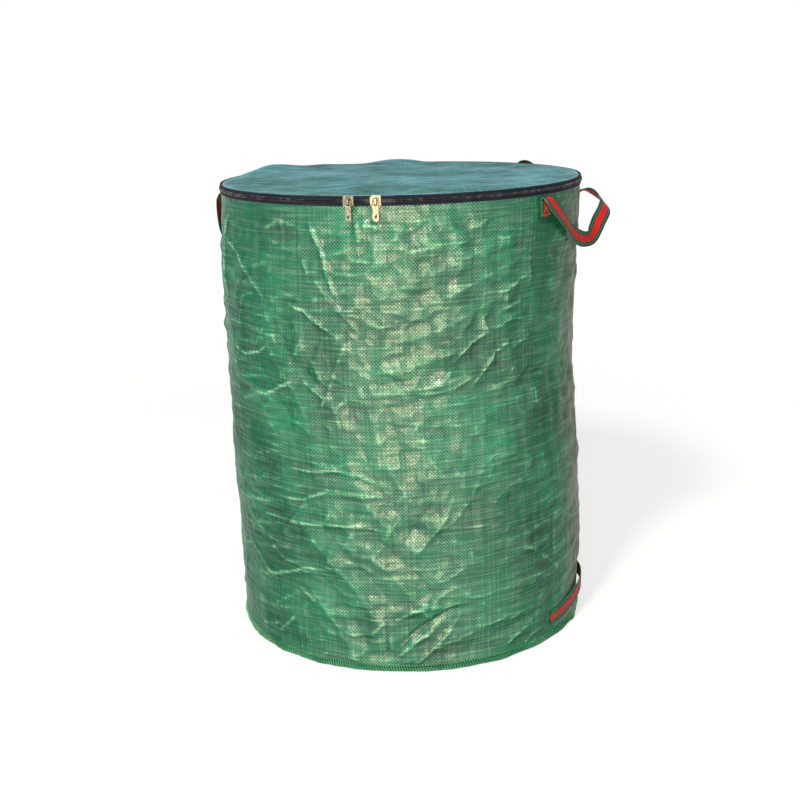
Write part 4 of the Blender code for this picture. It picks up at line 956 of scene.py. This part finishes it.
def lid_lift(x, y):
    """The slack lid's height at a place."""
    r = np.hypot(x, y) / LID_RADIUS
    azimuth = np.degrees(np.arctan2(x, -y))
    rise = np.zeros(x.shape)
    for middle, half, share in lid_rises:
        away = np.clip(np.abs(turn_gap(azimuth, middle)) / half, 0.0, 1.0)
        rise += share * (1.0 + np.cos(np.pi * away)) / 2
    shares = np.array(sorted(lid_ring_shares))
    z = LID_HIGH + LID_RISE * rise * np.interp(r, shares[:, 0], shares[:, 1])
    free = ease((0.985 - r) / 0.10)
    turned_x = (x * 0.94 + y * 0.34) / 0.0049
    turned_y = (y * 0.94 - x * 0.34)
    z += free * 0.0026 * swell(turned_x, turned_y + 0.3, 26.0, 0.040, 51)
    z += free * 0.0022 * (0.3 - np.abs(swell(turned_x, turned_y + 0.3, 15.0, 0.020, 52)))
    z += free * 0.0009 * (0.3 - np.abs(swell(turned_x, turned_y + 0.3, 5.0, 0.010, 53)))
    edge = ease((r - 0.988) / 0.012)
    return z * (1 - edge) + LID_EDGE_LOW * edge


# the lid's bluer colours are a painted reflection of cool light from above
lid_tarp = woven_tarpaulin("green woven tarpaulin, lid", "58a4b0", "175f54", "a9cbdd", 0.46, 0.10)
lid = disc_cloth("lid_cloth", LID_RADIUS, LID_ROWS, lid_lift, lid_tarp)
thicken(lid, CLOTH)
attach(lid, "lid")
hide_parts("lid_panel")

# SLIDERS, BRIDGES, PULL TABS AND STOPS
# Two sliders meet at the front of the zip. Each has a bridge that carries its pull tab, and a stop ends
# the zip at each side of the hinge. All are die-cast zinc with a warm nickel plate: edges rounded in
# the mould, small casting pits, and painted shade in the recesses.


def nickel_plate(name, code, dull, rough):
    """Nickel-plated zinc die casting: pale warm metal, cloudy on its faces, with painted shade in its
    recesses.
    """
    made, tree, shader = new_material(name)
    place = add(tree, "ShaderNodeTexCoord").outputs["Object"]
    cloud = add(tree, "ShaderNodeTexNoise", {"Vector": place, "Scale": 350.0, "Detail": 5.0})
    spread = add(tree, "ShaderNodeMapRange", {"Value": cloud, "From Min": 0.35, "From Max": 0.65})
    tone = add(tree, "ShaderNodeMix", {0: spread, 6: linear(dull), 7: linear(code)}, data_type="RGBA")
    # painted shade: the metal is darkened towards 2b261d where other parts close in about it
    open_share = add(tree, "ShaderNodeAmbientOcclusion", {"Distance": 0.010}).outputs["AO"]
    painted_recess_shade = add(tree, "ShaderNodeMapRange", {"Value": open_share, "From Min": 0.45, "From Max": 0.95})
    tone = add(tree, "ShaderNodeMix", {0: painted_recess_shade, 6: linear("2b261d"), 7: tone.outputs[2]}, data_type="RGBA")
    dim = add(tree, "ShaderNodeMapRange", {"Value": cloud, "To Min": rough + 0.12, "To Max": rough - 0.06})
    pit = add(tree, "ShaderNodeTexNoise", {"Vector": place, "Scale": 1400.0, "Detail": 2.0})
    bump = add(tree, "ShaderNodeBump", {"Strength": 0.15, "Distance": 0.0002, "Height": pit})
    settle(tree, shader, {"Base Color": tone.outputs[2], "Roughness": dim, "Normal": bump, "Metallic": 1.0})
    return made


nickel = nickel_plate("nickel plated zinc", "cfc5ae", "7a705a", 0.30)
for side in ("left", "right"):
    for part_name, bevel_width in (("slider_body", 0.00035), ("slider_bridge", 0.00030),
                                   ("pull_tab", 0.00035), ("zip_stop", 0.0003)):
        metal = nodes[f"{side}_{part_name}"]
        metal.data.materials.clear()
        metal.data.materials.append(nickel)
        rounding = metal.modifiers.new("cast edges", "BEVEL")
        rounding.width, rounding.segments, rounding.limit_method = bevel_width, 3, "ANGLE"
        rounding.angle_limit = math.radians(40.0)

# WEBBING HANDLES, GRAB STRAP AND HANG LOOP
# Woven polypropylene webbing, 24 mm wide, in a dark green, red and dark green stripe.
# Each strap is sewn flat to the cloth at both ends, with a box of stitches and its two diagonals.
WEBBING = 0.0016
WEBBING_WIDTH = 0.0240
SEAT = 0.0006
GAP = 0.0003
FOLD_Z = 0.6943
FOLD_RISE, FOLD_OUT = 0.0038, 0.0030
ROUTE_STEPS = 8
RIB_PITCH, YARN_PITCH = 0.0018, 0.0015
STITCH_INSET = 0.0026


def striped_webbing(name):
    """Polypropylene webbing: ribbed across, with a satin red band between two bottle green ones.
    The ribs are drawn at 1.8 mm, coarser than the real 1.2 mm, so that they show."""
    made, tree, shader = new_material(name)
    place = add(tree, "ShaderNodeUVMap", uv_map="cloth")
    part = add(tree, "ShaderNodeSeparateXYZ", {0: place})
    off = add(tree, "ShaderNodeMath", {0: part.outputs[1]}, operation="ABSOLUTE")
    share = add(tree, "ShaderNodeMath", {0: off, 1: WEBBING_WIDTH / 2}, operation="DIVIDE")
    stripes = add(tree, "ShaderNodeValToRGB", {0: share})
    # the pale green at the outer edges is a painted highlight on the webbing's rounded edges
    bands = ((0.0, "d8141f"), (0.36, "e01a28"), (0.40, "b8402f"), (0.43, "0f3322"), (0.60, "174a31"),
             (0.64, "4b9a70"), (0.70, "17482f"), (0.93, "123f2b"), (1.0, "5fae83"))
    ramp = stripes.color_ramp
    for k, (spot, code) in enumerate(bands):
        stop = ramp.elements[k] if k < 2 else ramp.elements.new(spot)
        stop.position = spot
        stop.color = linear(code)
    rib_turn = add(tree, "ShaderNodeMath", {0: part.outputs[0], 1: 2 * math.pi / RIB_PITCH},
                   operation="MULTIPLY")
    rib = add(tree, "ShaderNodeMath", {0: rib_turn}, operation="SINE")
    yarn_turn = add(tree, "ShaderNodeMath", {0: part.outputs[1], 1: 2 * math.pi / YARN_PITCH},
                    operation="MULTIPLY")
    yarn = add(tree, "ShaderNodeMath", {0: yarn_turn}, operation="COSINE")
    grain = add(tree, "ShaderNodeMath", {0: rib, 1: yarn}, operation="MULTIPLY")
    fuzz = add(tree, "ShaderNodeTexNoise", {"Vector": place, "Scale": 380.0, "Detail": 3.0})
    # painted light and shade: ribs lighter on their crowns and darker in their furrows; the fuzz is the
    # yarn's own tone
    level_of_grain = add(tree, "ShaderNodeMath", {0: grain, 1: 0.10, 2: 0.88}, operation="MULTIPLY_ADD")
    level_all = add(tree, "ShaderNodeMath", {0: fuzz, 1: 0.24, 2: level_of_grain}, operation="MULTIPLY_ADD")
    toned = add(tree, "ShaderNodeVectorMath", {0: stripes, "Scale": level_all}, operation="SCALE")
    bump = add(tree, "ShaderNodeBump", {"Strength": 0.7, "Distance": 0.0003, "Height": grain})
    settle(tree, shader, {"Base Color": toned, "Normal": bump, "Roughness": 0.55, "Specular IOR Level": 0.2})
    return made


webbing = striped_webbing("striped polypropylene webbing")
webbing_thread = spun_thread("spun polyester thread, green", "7fae8e", "2f6b4c", 0.7)
across_shares = (-1.0, -0.97, -0.90, -0.6, -0.3, 0.0, 0.3, 0.6, 0.90, 0.97, 1.0)


def smooth_route(route, steps=ROUTE_STEPS):
    """A smooth curve through a route's points."""
    padded = [route[0]] + list(route) + [route[-1]]
    result = []
    for k in range(1, len(padded) - 2):
        p0, p1, p2, p3 = (np.array(p, float) for p in padded[k - 1:k + 3])
        for step in range(steps):
            t = step / steps
            result.append((2 * p1 + (p2 - p0) * t + (2 * p0 - 5 * p1 + 4 * p2 - p3) * t * t
                           + (3 * p1 - p0 - 3 * p2 + p3) * t**3) / 2)
    result.append(np.array(route[-1], float))
    return np.array(result)


def band(name, places, acrosses, width):
    """Webbing along places, with the way its width lies at each, as a rounded flat body."""
    places, acrosses = np.asarray(places, float), np.asarray(acrosses, float)
    ahead = np.gradient(places, axis=0)
    ahead /= np.linalg.norm(ahead, axis=1, keepdims=True)
    acrosses = acrosses - ahead * (acrosses * ahead).sum(1, keepdims=True)
    acrosses /= np.linalg.norm(acrosses, axis=1, keepdims=True)
    facing = np.cross(acrosses, ahead)
    run = np.concatenate(([0.0], np.cumsum(np.linalg.norm(np.diff(places, axis=0), axis=1))))
    ring, spots = [], []
    for side in (-1, 1):
        for share in (across_shares if side < 0 else across_shares[::-1][1:-1]):
            ring.append(places + acrosses * (share * width / 2)
                        + facing * (side * WEBBING / 2 * math.sqrt(max(0.0, 1 - abs(share)**14)) * 0.98))
            spots.append(np.stack((run, np.full(len(run), share * width / 2)), -1))
    return skin(name, np.stack(ring, 1), np.stack(spots, 1), webbing, around=True, ends=True)


def route_band(name, route, width=WEBBING_WIDTH, steps=ROUTE_STEPS):
    """Webbing on a route of azimuth, standoff and height, with its width along the rim, outwards and up."""
    fine = smooth_route(route, steps)
    places = on_wall(fine[:, 0], fine[:, 1], fine[:, 2])
    a = np.radians(fine[:, 0])
    along_rim = np.stack((np.cos(a), np.sin(a), 0 * a), -1)
    outward, upward = round_axis(1.0, a, 0.0), np.array((0.0, 0.0, 1.0))
    acrosses = along_rim * fine[:, 3:4] + outward * fine[:, 4:5] + upward * fine[:, 5:6]
    return band(name, places, acrosses, width)


def sewn_end(name, azimuth, low, length, body, node):
    """A strap's flat end on the wall, upright, with its box of stitches."""
    off = SEAT + WEBBING / 2
    heights_up = np.linspace(low, low + length, 13)
    end = route_band(name, [(azimuth, off, z, 1.0, 0.0, 0.0) for z in heights_up], steps=1)
    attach(end, body)
    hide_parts(node)
    sew_box(name + "_stitching", azimuth, WEBBING_WIDTH / 2 - STITCH_INSET, low + STITCH_INSET,
            low + length - STITCH_INSET, body)


def sew_box(name, azimuth, half, low, high, body):
    """A box of stitches and its two diagonals, so far to each side of an azimuth and between two heights."""
    box = [(-half, low), (half, low), (half, high), (-half, high)]
    legs = list(zip(box, box[1:] + box[:1])) + [(box[0], box[2]), (box[1], box[3])]
    starts, ends, outs = [], [], []
    for (x0, z0), (x1, z1) in legs:
        length = math.hypot(x1 - x0, z1 - z0)
        count = max(2, round(length / STITCH_PITCH))
        for k in range(count):
            for target, t in ((starts, (k + 0.12) / count), (ends, (k + 0.88) / count)):
                x, z = x0 + (x1 - x0) * t, z0 + (z1 - z0) * t
                target.append(on_wall(azimuth + math.degrees(x / RADIUS), SEAT + WEBBING + 0.0001, z))
            x = x0 + (x1 - x0) * (k + 0.5) / count
            a = math.radians(azimuth + math.degrees(x / RADIUS))
            outs.append((math.sin(a), -math.cos(a), 0.0))
    stitch_row(name, starts, ends, outs, 0.00035, webbing_thread, body)


def folded_start(azimuth, top, turn):
    """The strap rises from its sewn end and folds over outwards."""
    flat = SEAT + WEBBING / 2
    return [(azimuth, flat, top + GAP, turn, 0.0, 0.0),
            (azimuth, flat + FOLD_OUT / 12, top + FOLD_RISE * 0.6, turn, 0.0, 0.0),
            (azimuth, flat + FOLD_OUT, top + FOLD_RISE, turn, 0.0, 0.0)]


# Right top handle: its loop stands out from the wall and droops. Each row says how far along it is from
# the front end to the rear one, its shares of the reach and of the drop, and which way the width lies:
# along the rim, outwards and up.
FRONT_TOP = FOLD_Z - FOLD_RISE
REAR_TOP = FRONT_TOP - 0.0185
RIGHT_REACH, RIGHT_DROP = 0.0391, 0.0756
right_route_shares = (
    (0.010, 0.253, 0.070, 0.99, 0.00, 0.00), (0.085, 0.270, 0.290, 0.92, -0.15, 0.20),
    (0.196, 0.222, 0.542, 0.85, -0.25, 0.45), (0.325, 0.227, 0.807, 0.60, -0.10, 0.80),
    (0.460, 0.355, 0.972, 0.10, 0.15, 0.98), (0.562, 0.552, 1.000, -0.30, -0.25, 0.90),
    (0.615, 0.634, 0.939, -0.35, -0.62, 0.62), (0.648, 0.714, 0.812, -0.30, -0.80, 0.45),
    (0.681, 0.793, 0.685, -0.25, -0.85, 0.42), (0.744, 0.957, 0.515, -0.30, -0.80, 0.50),
    (0.808, 1.000, 0.411, -0.50, -0.60, 0.55), (0.883, 0.867, 0.298, -0.70, -0.30, 0.55),
    (0.946, 0.624, 0.208, -0.85, -0.15, 0.45), (0.981, 0.317, 0.183, -0.98, 0.00, 0.15),
)
sewn_end("right_handle_front_sewn", 48.0, FRONT_TOP - 0.024, 0.024, "top", "right_handle_front_end")
sewn_end("right_handle_rear_sewn", 96.0, REAR_TOP - 0.024, 0.024, "top", "right_handle_rear_end")
route = folded_start(48.0, FRONT_TOP, 1.0)
for along, reach, drop, rim, out, up in right_route_shares:
    route.append((48.0 + 48.0 * along, RIGHT_REACH * reach, FOLD_Z - RIGHT_DROP * drop, rim, out, up))
route += reversed(folded_start(96.0, REAR_TOP, -1.0))
right_loop = route_band("right_handle_webbing", route)
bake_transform(right_loop)
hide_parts("right_handle_strap")

# Left top handle, hanging flat against the wall. Its rows are those of one half, and the other mirrors it.
LEFT_REACH, LEFT_DROP = 0.0085, 0.0880
left_half_shares = ((0.008, 0.90, 0.10, 1.00, 0.16, 0.00), (0.030, 1.00, 0.28, 0.97, 0.22, -0.20),
                    (0.088, 1.00, 0.53, 0.85, 0.22, -0.52), (0.188, 0.94, 0.76, 0.60, 0.12, -0.80),
                    (0.325, 0.88, 0.93, 0.30, 0.0, -0.95))
for name, azimuth in (("left_handle_front", -90.0), ("left_handle_rear", -130.0)):
    sewn_end(name + "_sewn", azimuth, FRONT_TOP - 0.024, 0.024, "top", name + "_end")
half_route = [(-90.0 - 40.0 * s, LEFT_REACH * reach, FOLD_Z - LEFT_DROP * drop, rim, out, up)
              for s, reach, drop, rim, out, up in left_half_shares]
mirrored = [(-220.0 - a, out, z, -rim, w, up) for a, out, z, rim, w, up in reversed(half_route)]
route = folded_start(-90.0, FRONT_TOP, 1.0) + half_route
route += [(-110.0, LEFT_REACH * 0.88, FOLD_Z - LEFT_DROP, 0.0, 0.0, -1.0)]
route += mirrored + list(reversed(folded_start(-130.0, FRONT_TOP, -1.0)))
left_loop = route_band("left_handle_webbing", route)
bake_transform(left_loop)
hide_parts("left_handle_strap")

# Grab strap low on the right, for tipping the bag out: it lies along the wall, sewn at both ends.
GRAB_START, GRAB_END, GRAB_TAIL, GRAB_Z = 51.2, 108.8, 5.0, 0.0340
GRAB_REACH, GRAB_RISE, GRAB_LEAD, GRAB_BOX_HALF = 0.0072, 0.0110, 1.0, 0.0094
flat = SEAT + WEBBING / 2
for name, low, high in (("base_handle_front", GRAB_START, GRAB_START + GRAB_TAIL),
                        ("base_handle_rear", GRAB_END - GRAB_TAIL, GRAB_END)):
    end = route_band(name + "_sewn", [(a, flat, GRAB_Z, 0.0, 0.0, 1.0) for a in np.linspace(low, high, 13)],
                     steps=1)
    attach(end, "root")
    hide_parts(name + "_end")
    half = math.radians(high - low) * RADIUS / 2 - STITCH_INSET
    sew_box(name + "_stitching", (low + high) / 2, half, GRAB_Z - GRAB_BOX_HALF, GRAB_Z + GRAB_BOX_HALF,
            "root")
seam_gap = math.degrees(GAP / RADIUS)
low, high = GRAB_START + GRAB_TAIL + seam_gap, GRAB_END - GRAB_TAIL - seam_gap
route = [(low, flat, GRAB_Z, 0.0, 0.0, 1.0)]
for k in range(13):
    share = k / 12
    swelling = math.sin(math.pi * share)
    route.append((low + GRAB_LEAD + (high - low - 2 * GRAB_LEAD) * share,
                  flat + (GRAB_REACH - flat) * swelling, GRAB_Z + GRAB_RISE * swelling, 0.0, 0.0, 1.0))
route.append((high, flat, GRAB_Z, 0.0, 0.0, 1.0))
grab = route_band("base_handle_webbing", route)
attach(grab, "root")
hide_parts("base_handle_strap")

# Small hang loop at the back rim: it rises from its two sewn ends and leans back at its top.
HANG_AZ, HANG_LOW, HANG_TAIL = 131.6, 0.6446, 0.0200
HANG_SPREAD, HANG_REACH, HANG_LEAD, HANG_BELOW_LID = 0.0560, 0.0150, 0.0030, 0.0005
spread = math.degrees(HANG_SPREAD / 2 / RADIUS)
for name, side in (("hang_loop_near", -1), ("hang_loop_far", 1)):
    sewn_end(name + "_sewn", HANG_AZ + side * spread, HANG_LOW, HANG_TAIL, "top", name + "_end")
foot = HANG_LOW + HANG_TAIL + GAP
climb_height = LID_HIGH - HANG_BELOW_LID - foot - HANG_LEAD
route = [(HANG_AZ - spread, flat, foot, 1.0, 0.0, 0.0)]
for k in range(11):
    turn = math.pi * k / 10
    climb = math.sin(turn)
    standoff = flat + (HANG_REACH - flat) * min(1.0, 2.0 * climb)
    route.append((HANG_AZ - spread * math.cos(turn), standoff, foot + HANG_LEAD + climb_height * climb,
                  math.cos(turn), 0.90 * climb, -0.45 * climb))
route.append((HANG_AZ + spread, flat, foot, -1.0, 0.0, 0.0))
hang = route_band("hang_loop_webbing", route)
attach(hang, "top")
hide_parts("hang_loop_strap")
